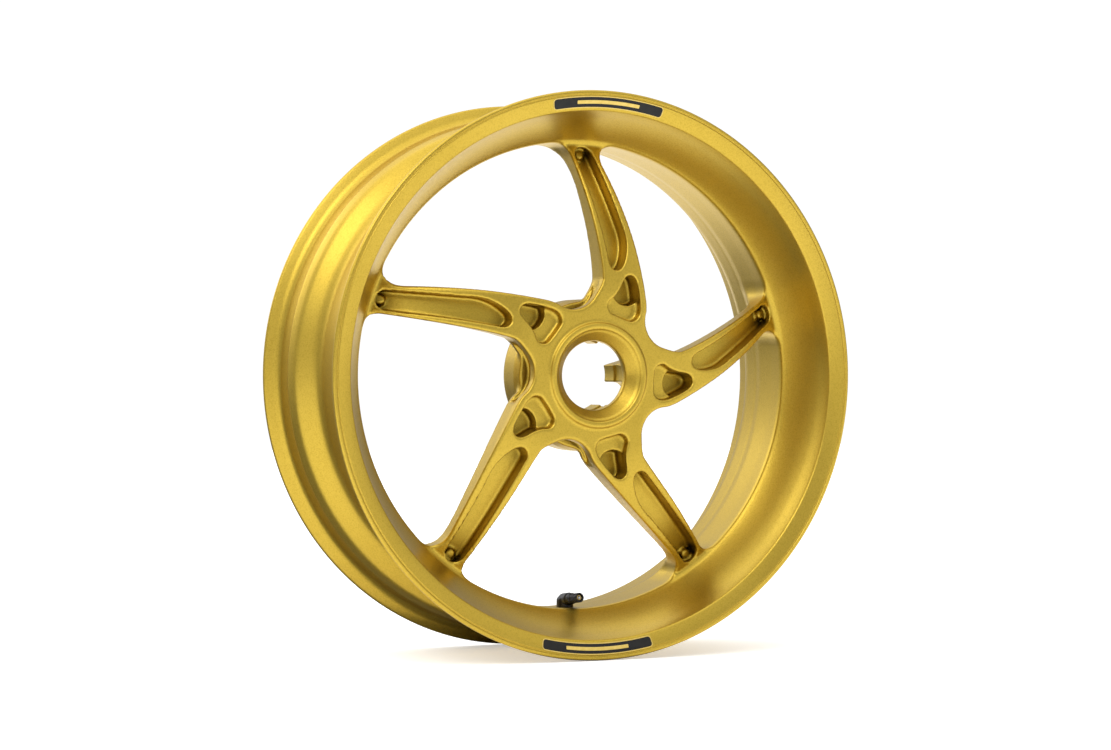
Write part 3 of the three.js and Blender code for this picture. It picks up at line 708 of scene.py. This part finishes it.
def band(a, b):
    a1, b1 = np.roll(a, -1), np.roll(b, -1)
    return [list(q) for q in np.stack([a, a1, b1, b], 1)]


# ---------- Build ----------

SHARP_ANGLE = math.radians(38)


def new_object(name, verts, faces):
    mesh = bpy.data.meshes.new(name)
    mesh.from_pydata([tuple(float(c) * MM for c in v) for v in verts], [], [list(map(int, f)) for f in faces])
    mesh.validate()
    mesh.shade_smooth()
    obj = bpy.data.objects.new(name, mesh)
    bpy.context.scene.collection.objects.link(obj)
    return obj


def face_outwards(obj):
    bm = bmesh.new()
    bm.from_mesh(obj.data)
    bmesh.ops.remove_doubles(bm, verts=bm.verts, dist=1e-6)
    bmesh.ops.recalc_face_normals(bm, faces=bm.faces)
    bm.to_mesh(obj.data)
    bm.free()
    obj.data.shade_smooth()


# ---------- Materials ----------


class Finish:
    """A node material with one shader, and short ways to add patterns to it."""

    def __init__(self, name, colour, metallic, roughness):
        self.material = bpy.data.materials.new(name)
        self.material.use_nodes = True
        self.tree = self.material.node_tree
        self.shader = self.tree.nodes["Principled BSDF"]
        self.shader.inputs["Base Color"].default_value = (*colour, 1)
        self.shader.inputs["Metallic"].default_value = metallic
        self.shader.inputs["Roughness"].default_value = roughness
        self.place = self.tree.nodes.new("ShaderNodeTexCoord").outputs["Object"]

    def noise(self, scale, detail=3.0, rough=0.55, stretch=None):
        node = self.tree.nodes.new("ShaderNodeTexNoise")
        node.inputs["Scale"].default_value = scale
        node.inputs["Detail"].default_value = detail
        node.inputs["Roughness"].default_value = rough
        place = self.place
        if stretch:
            mapping = self.tree.nodes.new("ShaderNodeMapping")
            mapping.inputs["Scale"].default_value = stretch
            self.tree.links.new(place, mapping.inputs["Vector"])
            place = mapping.outputs["Vector"]
        self.tree.links.new(place, node.inputs["Vector"])
        return node.outputs["Fac"]

    def span(self, value, low, high, start=0.3, end=0.7):
        """Maps a pattern from start..end to low..high."""
        node = self.tree.nodes.new("ShaderNodeMapRange")
        node.inputs["From Min"].default_value = start
        node.inputs["From Max"].default_value = end
        node.inputs["To Min"].default_value = low
        node.inputs["To Max"].default_value = high
        self.tree.links.new(value, node.inputs["Value"])
        return node.outputs["Result"]

    def mix(self, share, first, second):
        node = self.tree.nodes.new("ShaderNodeMix")
        node.data_type = "RGBA"
        for socket, value in ((node.inputs[6], first), (node.inputs[7], second)):
            if isinstance(value, tuple):
                socket.default_value = (*value, 1)
            else:
                self.tree.links.new(value, socket)
        self.tree.links.new(share, node.inputs[0])
        return node.outputs[2]

    def colour(self, value):
        self.tree.links.new(value, self.shader.inputs["Base Color"])

    def roughness(self, value):
        self.tree.links.new(value, self.shader.inputs["Roughness"])

    def bump(self, value, height, strength=1.0):
        node = self.tree.nodes.new("ShaderNodeBump")
        node.inputs["Strength"].default_value = strength
        node.inputs["Distance"].default_value = height
        self.tree.links.new(value, node.inputs["Height"])
        last = self.shader.inputs["Normal"]
        if last.is_linked:
            self.tree.links.new(last.links[0].from_socket, node.inputs["Normal"])
        self.tree.links.new(node.outputs["Normal"], last)


def gold_finish():
    f = Finish("gold_forging", (0.62, 0.42, 0.07), 1.0, 0.4)
    grain = f.noise(1500, 3, 0.6)
    speck = f.noise(820, 4, 0.75)
    cloud = f.noise(9, 2, 0.5)
    tone = f.mix(f.span(cloud, 0, 1), (0.535, 0.368, 0.050), (0.580, 0.405, 0.060))
    tone = f.mix(f.span(speck, 0.0, 0.45, 0.46, 0.64), tone, (0.34, 0.225, 0.022))
    # painted shade: an ambient occlusion lookup darkens the colour into recesses, where shade falls
    occlusion_shade = f.tree.nodes.new("ShaderNodeAmbientOcclusion")
    occlusion_shade.samples = 6
    occlusion_shade.inputs["Distance"].default_value = 0.016
    shade_share = f.span(occlusion_shade.outputs["AO"], 0.0, 1.0, 0.14, 0.66)
    # painted shade: dark brown mixed into the gold where the occlusion lookup finds a recess
    f.colour(f.mix(shade_share, (0.075, 0.047, 0.004), tone))
    f.roughness(f.span(grain, 0.33, 0.43))
    f.bump(f.noise(950, 2, 0.6), 0.00014, 0.55)
    f.bump(grain, 0.00005, 0.5)
    return f.material


def black_finish():
    f = Finish("valve_black", (0.03, 0.03, 0.034), 0.85, 0.3)
    grain = f.noise(2600, 2, 0.5)
    f.colour(f.mix(f.span(f.noise(420), 0, 1), (0.026, 0.026, 0.030), (0.040, 0.039, 0.041)))
    f.roughness(f.span(grain, 0.26, 0.38))
    f.bump(grain, 0.00001, 0.4)
    return f.material


def film_finish():
    f = Finish("label_film", (0.012, 0.012, 0.012), 0.0, 0.36)
    f.shader.inputs["Specular IOR Level"].default_value = 0.22
    f.colour(f.mix(f.span(f.noise(160), 0, 1), (0.010, 0.010, 0.010), (0.017, 0.016, 0.014)))
    f.roughness(f.span(f.noise(900), 0.30, 0.42))
    f.bump(f.noise(700), 0.00001, 0.4)
    return f.material


def ink_finish():
    f = Finish("label_ink", (0.66, 0.47, 0.10), 0.35, 0.42)
    f.colour(f.mix(f.span(f.noise(300), 0, 1), (0.64, 0.45, 0.09), (0.72, 0.53, 0.14)))
    f.roughness(f.span(f.noise(1100), 0.36, 0.48))
    return f.material


def turned_metal(name, dark, light, roughness):
    """Bare turned metal with fine lines round the stem's axis."""
    f = Finish(name, dark, 1.0, roughness)
    lines = f.noise(700, 2, 0.6, (0.15, 4.0, 0.15))
    f.colour(f.mix(f.span(f.noise(500), 0, 1), dark, light))
    f.roughness(f.span(lines, roughness - 0.06, roughness + 0.08))
    f.bump(lines, 0.000008, 0.5)
    return f.material


def rubber_finish():
    f = Finish("rubber", (0.02, 0.02, 0.02), 0.0, 0.75)
    grain = f.noise(1800)
    f.colour(f.mix(f.span(grain, 0, 1), (0.014, 0.014, 0.014), (0.032, 0.031, 0.030)))
    f.roughness(f.span(grain, 0.66, 0.86))
    f.bump(grain, 0.00003, 0.6)
    return f.material


def plastic_finish():
    f = Finish("white_plastic", (0.82, 0.81, 0.76), 0.0, 0.5)
    grain = f.noise(1400)
    f.colour(f.mix(f.span(grain, 0, 1), (0.78, 0.77, 0.72), (0.85, 0.84, 0.80)))
    f.roughness(f.span(grain, 0.42, 0.58))
    f.bump(grain, 0.00001, 0.4)
    return f.material


GOLD = gold_finish()
BLACK = black_finish()
FILM = film_finish()
INK = ink_finish()
STEEL = turned_metal("steel", (0.52, 0.53, 0.55), (0.66, 0.66, 0.67), 0.28)
BRASS = turned_metal("brass", (0.62, 0.43, 0.14), (0.74, 0.55, 0.22), 0.30)
RUBBER = rubber_finish()
PLASTIC = plastic_finish()

# ---------- Labels on the front band ----------

BAND_INNER_R, BAND_OUTER_R = 215.3, 227.7
BAND_INNER_Y, BAND_OUTER_Y = -80.5, -84.65
LABEL_INNER_R, LABEL_OUTER_R = 217.3, 226.6
LABEL_HALF_ANGLE = math.radians(12.8)
LABEL_CORNER = 3.0
LABEL_THICKNESS = 0.2


def band_y(r):
    share = (r - BAND_INNER_R) / (BAND_OUTER_R - BAND_INNER_R)
    return BAND_INNER_Y + share * (BAND_OUTER_Y - BAND_INNER_Y)


def rounded_strip(half_length, half_width, corner, along=40, round_steps=5):
    """A rounded rectangle's outline, always with the same number of points, anticlockwise from the right."""
    right, top = half_length - corner, half_width - corner
    corners = [(right, top, 0), (-right, top, 90), (-right, -top, 180), (right, -top, 270)]
    rows = []
    for n, (cx, cy, start) in enumerate(corners):
        rows.append(arc((cx, cy), corner, start, start + 90, round_steps))
        end = arc((cx, cy), corner, start + 90, start + 91, 1)[0]
        nx, ny, _ = corners[(n + 1) % 4]
        nxt = arc((nx, ny), corner, start + 90, start + 91, 1)[0]
        steps = along if n in (0, 2) else 3
        rows.append(end + np.linspace(0, 1, steps, endpoint=False)[:, None] * (nxt - end))
    return chain(*rows)


def label_mesh(angle):
    """A black film with a thin gold border line and a plain gold bar in its middle."""
    middle = (LABEL_INNER_R + LABEL_OUTER_R) / 2
    length, width = middle * LABEL_HALF_ANGLE, (LABEL_OUTER_R - LABEL_INNER_R) / 2
    top = LABEL_THICKNESS
    # inset from the edge, height over the band, and whether the strip up to the next ring is gold
    loops = [
        (rounded_strip(length, width, LABEL_CORNER), -0.05, 0),
        (rounded_strip(length, width, LABEL_CORNER), top - 0.06, 1),
        (rounded_strip(length - 0.08, width - 0.08, LABEL_CORNER - 0.08), top, 1),
        (rounded_strip(length - 0.7, width - 0.7, LABEL_CORNER - 0.7), top, 0),
        (rounded_strip(28.0, 1.5, 0.6), top, 0),
        (rounded_strip(27.9, 1.4, 0.5), top + 0.04, 1),
    ]
    verts, faces, gold = [], [], []
    count = len(loops[0][0])
    for points, height, _ in loops:
        for s, w in points:
            r, a = middle + w, math.radians(angle) - s / middle
            verts.append((r * math.cos(a), band_y(r) - height, r * math.sin(a)))
    ids = [np.arange(count) + n * count for n in range(len(loops))]
    for n in range(len(loops) - 1):
        faces += band(ids[n], ids[n + 1])
        gold += [loops[n][2]] * count
    for ring, colour in ((ids[-1], 1), (ids[0][::-1], 0)):
        cap = fill_strip(ring)
        faces += cap
        gold += [colour] * len(cap)
    return verts, faces, gold


def fill_strip(ring):
    """Quads across a closed ring of an even number of points, from its first pair to its last."""
    n = len(ring)
    ring = np.roll(ring, 1)
    return [[ring[i], ring[i + 1], ring[n - 2 - i], ring[n - 1 - i]] for i in range(n // 2 - 1)]


# ---------- Valve ----------

VALVE_PLACE = Matrix.Translation(Vector((0, -13.8, -194.2)) * MM)
STEM_TURN = Matrix.Rotation(math.radians(83), 4, "X")
STEM_RISE = Matrix.Translation(Vector((0, 0, 7.4)) * MM)
STEM_PLACE = VALVE_PLACE @ STEM_RISE @ STEM_TURN
STEM_LENGTH = 29.5
CORE_DEPTH = 1.2
CORE_TOP = STEM_LENGTH - CORE_DEPTH
SHANK_R = 4.1
WASHER_TOP, WASHER_BOTTOM = -3.3, -4.7
NUT_TOP = -5.0
THREAD_PITCH = 0.79
THREAD_SPACING = 0.13


def thread(start, end, shade_share):
    """How far a screw thread between two heights cuts into its bar."""

    def cut(r, z, phi):
        fade = np.clip((z - start) / 0.8, 0, 1) * np.clip((end - z) / 0.8, 0, 1)
        return r - shade_share * fade * (0.5 - 0.5 * math.cos(2 * math.pi * z / THREAD_PITCH - phi))

    return cut


def knurl(start, end, shade_share, teeth):
    def cut(r, z, phi):
        inside = start <= z <= end
        return r - (shade_share * (0.5 - 0.5 * math.cos(teeth * phi)) if inside else 0)

    return cut


def steps_between(r, start, end, spacing):
    n = max(2, int(abs(end - start) / spacing))
    return [(r, start + (end - start) * i / n) for i in range(n + 1)]


def turned_mesh(profile, segments=48, cuts=(), closed=False):
    """A profile of (radius, height) turned about Z. Points on the axis become poles."""
    verts, faces, rings = [], [], []
    for r, z in profile:
        if r < 1e-6:
            rings.append([len(verts)] * segments)
            verts.append((0, 0, z))
            continue
        rings.append(list(range(len(verts), len(verts) + segments)))
        for k in range(segments):
            phi = 2 * math.pi * k / segments
            radius = r
            for cut in cuts:
                radius = cut(radius, z, phi)
            verts.append((radius * math.cos(phi), radius * math.sin(phi), z))
    pairs = list(zip(rings, rings[1:] + rings[:1]))
    for a, b in pairs if closed else pairs[:-1]:
        for q in band(a, b):
            q = [v for n, v in enumerate(q) if v != q[n - 1]]
            if len(q) > 2:
                faces.append(q)
    return verts, faces


def small_piece(name, verts, faces, place, material, nodes, body="wheel"):
    """A turned piece, put in its place, that stands for CAD nodes."""
    obj = new_object(name, verts, faces)
    face_outwards(obj)
    obj.data.transform(place)
    obj.data.set_sharp_from_angle(angle=SHARP_ANGLE)
    dress(obj, material, nodes, body)
    return obj


def dress(obj, material, nodes, body):
    obj.data.materials.append(material)
    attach(obj, body)
    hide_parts(*nodes)


def rounded_turning(corners, segments=48, steps=3):
    """A closed turned ring, its corners given as (radius, height, fillet)."""
    first = corners[0]
    start = tuple((np.array(first[:2]) + np.array(corners[-1][:2])) / 2) + (0.0,)
    points = rounded_profile([start] + list(corners) + [start], steps)[:-1]
    return turned_mesh([tuple(p) for p in points], segments, closed=True)


def union(first, second):
    """The two objects as one closed mesh, left in the first."""
    change = first.modifiers.new("union", "BOOLEAN")
    change.operation = "UNION"
    change.solver = "EXACT"
    change.object = second
    graph = bpy.context.evaluated_depsgraph_get()
    mesh = bpy.data.meshes.new_from_object(first.evaluated_get(graph))
    first.modifiers.clear()
    first.data = mesh
    bpy.data.objects.remove(second)
    face_outwards(first)


def valve_body():
    """Head and threaded shank in one turning, and the angled stem with its open bore."""
    head = rounded_profile(
        [
            (0.0, -13.0, 0),
            (3.6, -13.0, 0.1),
            (SHANK_R, -12.5, 0.1),
        ],
        2,
    ).tolist()
    head += steps_between(SHANK_R, -12.3, -2.6, THREAD_SPACING)
    head += rounded_profile(
        [
            (SHANK_R, -2.4, 0),
            (SHANK_R, 0.3, 0.2),
            (6.7, 0.3, 0.2),
            (7.05, 0.65, 0.3),
            (7.05, 7.6, 0.8),
            (6.1, 9.4, 1.6),
            (3.7, 11.4, 0.8),
            (0.0, 11.4, 0),
        ],
        4,
    ).tolist()
    obj = new_object("valve_body", *turned_mesh(head, 64, [thread(-12.4, -2.6, 0.38)]))
    face_outwards(obj)
    stem = rounded_profile(
        [
            (0.0, -2.0, 0),
            (5.4, -2.0, 0),
            (5.4, 9.2, 0.5),
            (4.3, 10.5, 0.5),
            (4.3, 13.0, 0.2),
            (4.65, 13.35, 0.2),
            (4.65, 15.2, 0.25),
            (3.55, 15.8, 0.2),
            (3.55, 17.2, 0.2),
            (3.95, 17.7, 0.1),
        ],
        4,
    ).tolist()
    stem += steps_between(4.05, 17.9, 28.7, THREAD_SPACING)
    stem += rounded_profile(
        [
            (4.05, 28.9, 0),
            (3.5, 29.5, 0.15),
            (3.1, 29.5, 0.15),
            (2.75, 29.1, 0.15),
            (2.75, 7.6, 0.1),
            (0.0, 7.6, 0),
        ],
        3,
    ).tolist()
    cuts = [thread(17.8, 28.8, 0.42), knurl(13.5, 15.0, 0.18, 32)]
    other = new_object("stem", *turned_mesh(stem, 96, cuts))
    face_outwards(other)
    other.data.transform(STEM_RISE @ STEM_TURN)
    union(obj, other)
    obj.data.transform(VALVE_PLACE)
    obj.data.set_sharp_from_angle(angle=SHARP_ANGLE)
    dress(obj, BLACK, ["valve_body"], "wheel")


def valve_nut():
    """Hexagon nut, its corners chamfered at both ends."""
    top, height, flats = NUT_TOP, 5.0, 12.0

    def hexagon(r, z, phi):
        if r < 5:
            return r
        flat = flats / 2 / math.cos((phi + math.pi / 6) % (math.pi / 3) - math.pi / 6)
        shade_share = min(top - z, z - top + height)
        return min(flat, r + shade_share * 1.7)

    heights = [top, top - 0.25, top - 0.5, top - height + 0.5, top - height + 0.25, top - height]
    profile = [(4.55, top)] + [(5.75, z) for z in heights] + [(4.55, top - height), (4.35, top - height + 0.2)]
    profile += [(4.35, top - 0.2)]
    verts, faces = turned_mesh(profile, 96, [hexagon], closed=True)
    small_piece("valve_nut", verts, faces, VALVE_PLACE, STEEL, ["valve_nut"])


def valve_washer():
    verts, faces = rounded_turning(
        [(4.4, WASHER_TOP, 0.2), (7.6, WASHER_TOP, 0.3), (7.6, WASHER_BOTTOM, 0.3), (4.4, WASHER_BOTTOM, 0.2)],
        64,
    )
    small_piece("valve_washer", verts, faces, VALVE_PLACE, STEEL, ["valve_washer"])


def core_place():
    return STEM_PLACE @ Matrix.Translation(Vector((0, 0, CORE_TOP)) * MM)


def valve_core():
    """Screwed head with its thread, the pin with its rounded tip, and the spring."""
    head = [(1.25, -5.0), (1.25, -0.25), (1.4, 0.0), (1.85, 0.0), (1.95, -0.1), (1.95, -1.5), (2.1, -1.8)]
    head += steps_between(2.45, -2.1, -4.8, 0.1)
    head += [(2.3, -5.0)]
    verts, faces = turned_mesh(head, 48, [thread(-4.9, -2.0, 0.25)], closed=True)
    small_piece("valve_core_head", verts, faces, core_place(), BRASS, ["valve_core_head"])
    pin = rounded_profile(
        [
            (0.0, 0.4, 0),
            (0.95, 0.4, 0.35),
            (0.95, -0.8, 0.15),
            (0.45, -1.2, 0.1),
            (0.45, -18.3, 0.15),
            (0.0, -18.3, 0),
        ],
        4,
    ).tolist()
    verts, faces = turned_mesh(pin, 32)
    small_piece("valve_core_pin", verts, faces, core_place(), STEEL, ["valve_core_pin"], "valve_pin")
    spring()


def spring():
    wire, turns, top, bottom, coil = 0.15, 6, -1.25, -13.05, 0.85
    steps, sides = turns * 28, 10
    verts, rings = [], []
    rise = (bottom - top) / (2 * math.pi * turns)
    lean = math.atan2(rise, coil)
    for i in range(steps + 1):
        a = 2 * math.pi * turns * i / steps
        out = Vector((math.cos(a), math.sin(a), 0))
        across = Vector((math.sin(a) * math.sin(lean), -math.cos(a) * math.sin(lean), math.cos(lean)))
        centre = out * coil + Vector((0, 0, top + rise * a))
        rings.append(list(range(len(verts), len(verts) + sides)))
        for k in range(sides):
            b = 2 * math.pi * k / sides
            verts.append(centre + wire * (math.cos(b) * out + math.sin(b) * across))
    faces = [q for a, b in zip(rings, rings[1:]) for q in band(a, b)]
    faces += [rings[0][::-1], rings[-1]]
    place = core_place()
    obj = small_piece("valve_core_spring", verts, faces, place, STEEL, ["valve_core_spring"])
    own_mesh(obj)


# ---------- Scene ----------

wheel = new_object("wheel_forging", *wheel_mesh())
face_outwards(wheel)
dress(wheel, GOLD, ["wheel_forging"], "wheel")

for label_name, label_angle in (("label_upper", 88.1), ("label_lower", 269.3)):
    label_verts, label_faces, label_gold = label_mesh(label_angle)
    label = new_object(label_name, label_verts, label_faces)
    dress(label, FILM, [label_name], "wheel")
    label.data.materials.append(INK)
    for face, share in zip(label.data.polygons, label_gold):
        face.material_index = share
    face_outwards(label)
    label.data.set_sharp_from_angle(angle=SHARP_ANGLE)

valve_body()
valve_nut()
valve_washer()
valve_core()

KEPT = {
    "valve_seal_ring": RUBBER,
    "valve_core_barrel": BRASS,
    "valve_core_seal": PLASTIC,
    "valve_core_cup": BRASS,
    "valve_core_cup_seal": RUBBER,
}
for node_name, kept_material in KEPT.items():
    for node_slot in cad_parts[node_name].material_slots:
        node_slot.link = "OBJECT"
        node_slot.material = kept_material

# ---------- Floor, light and camera ----------

FLOOR_Z = -0.2317
FLOOR_HALF = 6.0
CARD_LIFT = 0.0002

floor_mesh = bpy.data.meshes.new("floor")
floor_mesh.from_pydata(
    [
        (-FLOOR_HALF, -FLOOR_HALF, FLOOR_Z),
        (FLOOR_HALF, -FLOOR_HALF, FLOOR_Z),
        (FLOOR_HALF, FLOOR_HALF, FLOOR_Z),
        (-FLOOR_HALF, FLOOR_HALF, FLOOR_Z),
    ],
    [],
    [(0, 1, 2, 3)],
)
floor = bpy.data.objects.new("floor", floor_mesh)
bpy.context.scene.collection.objects.link(floor)
floor_paint = Finish("floor_paint", (0.86, 0.86, 0.86), 0.0, 0.9)
floor_paint.shader.inputs["Specular IOR Level"].default_value = 0.0
floor_paint.colour(floor_paint.mix(floor_paint.noise(3), (0.85, 0.85, 0.85), (0.88, 0.88, 0.88)))
floor_paint.shader.inputs["Emission Color"].default_value = (1, 1, 1, 1)
floor_paint.shader.inputs["Emission Strength"].default_value = 0.42
floor.data.materials.append(floor_paint.material)

# A grey card on the floor behind the wheel that only reflections see, as a studio lays under a metal object
card_mesh = bpy.data.meshes.new("shade_card")
card_mesh.from_pydata([(-4.0, 0.05, 0), (0.02, 0.05, 0), (0.02, 4.0, 0), (-4.0, 4.0, 0)], [], [(0, 1, 2, 3)])
card_mesh.materials.append(Finish("card_grey", (0.16, 0.16, 0.16), 0.0, 1.0).material)
card = bpy.data.objects.new("shade_card", card_mesh)
card.location.z = FLOOR_Z + CARD_LIFT
card.visible_camera = False
card.visible_diffuse = False
card.visible_shadow = False
bpy.context.scene.collection.objects.link(card)


def soft_light(name, place, size, power):
    """A soft rectangular light aimed at the wheel's centre."""
    data = bpy.data.lights.new(name, "AREA")
    data.shape = "RECTANGLE"
    data.size, data.size_y = size
    data.energy = power
    light = bpy.data.objects.new(name, data)
    light.location = place
    light.rotation_euler = (-Vector(place)).to_track_quat("-Z", "Y").to_euler()
    bpy.context.scene.collection.objects.link(light)


soft_light("key", (-1.7, -1.6, 1.9), (1.6, 1.6), 24)
soft_light("fill", (1.9, -1.9, 0.7), (1.2, 1.6), 4)
soft_light("back", (-1.4, 1.8, 1.2), (1.4, 1.4), 12)


def studio_world():
    """White to the camera; to the wheel, a dim room with broad soft lights."""
    world = bpy.data.worlds.new("studio")
    bpy.context.scene.world = world
    world.use_nodes = True
    tree = world.node_tree
    room = tree.nodes["Background"]
    direction = tree.nodes.new("ShaderNodeTexCoord").outputs["Generated"]
    total = None
    # direction, where its light starts and is full as a cosine, and strength
    for towards, start, full, strength in (
        ((0, 0, 1), -2.0, -1.5, 0.40),
        ((0.50, -0.86, 0.05), 0.45, 1.0, 0.10),
        ((-0.10, -0.05, 0.99), 0.30, 1.0, 1.20),
        ((-0.35, 0.70, 0.62), 0.50, 1.0, 0.50),
    ):
        dot = tree.nodes.new("ShaderNodeVectorMath")
        dot.operation = "DOT_PRODUCT"
        dot.inputs[1].default_value = towards
        tree.links.new(direction, dot.inputs[0])
        lobe = tree.nodes.new("ShaderNodeMapRange")
        lobe.interpolation_type = "SMOOTHSTEP"
        lobe.inputs["From Min"].default_value = start
        lobe.inputs["From Max"].default_value = full
        lobe.inputs["To Max"].default_value = strength
        tree.links.new(dot.outputs["Value"], lobe.inputs["Value"])
        if total is None:
            total = lobe.outputs["Result"]
            continue
        plus = tree.nodes.new("ShaderNodeMath")
        tree.links.new(total, plus.inputs[0])
        tree.links.new(lobe.outputs["Result"], plus.inputs[1])
        total = plus.outputs[0]
    tree.links.new(total, room.inputs["Strength"])
    room.inputs["Color"].default_value = (1, 1, 1, 1)
    white = tree.nodes.new("ShaderNodeBackground")
    white.inputs["Color"].default_value = (1, 1, 1, 1)
    white.inputs["Strength"].default_value = 1.05
    choose = tree.nodes.new("ShaderNodeMixShader")
    tree.links.new(tree.nodes.new("ShaderNodeLightPath").outputs["Is Camera Ray"], choose.inputs[0])
    tree.links.new(room.outputs[0], choose.inputs[1])
    tree.links.new(white.outputs[0], choose.inputs[2])
    tree.links.new(choose.outputs[0], tree.nodes["World Output"].inputs["Surface"])


studio_world()

camera_data = bpy.data.cameras.new("camera")
camera_data.sensor_width = 36.0
camera_data.lens = 96.50
camera_data.shift_x = -0.00214
camera_data.shift_y = 0.0002
camera = bpy.data.objects.new("camera", camera_data)
camera.location = (-1.0428, -2.2653, 0.0048)
camera.rotation_euler = (-Vector(camera.location)).to_track_quat("-Z", "Y").to_euler()
bpy.context.scene.collection.objects.link(camera)
bpy.context.scene.camera = camera
bpy.context.scene.view_settings.view_transform = "Standard"
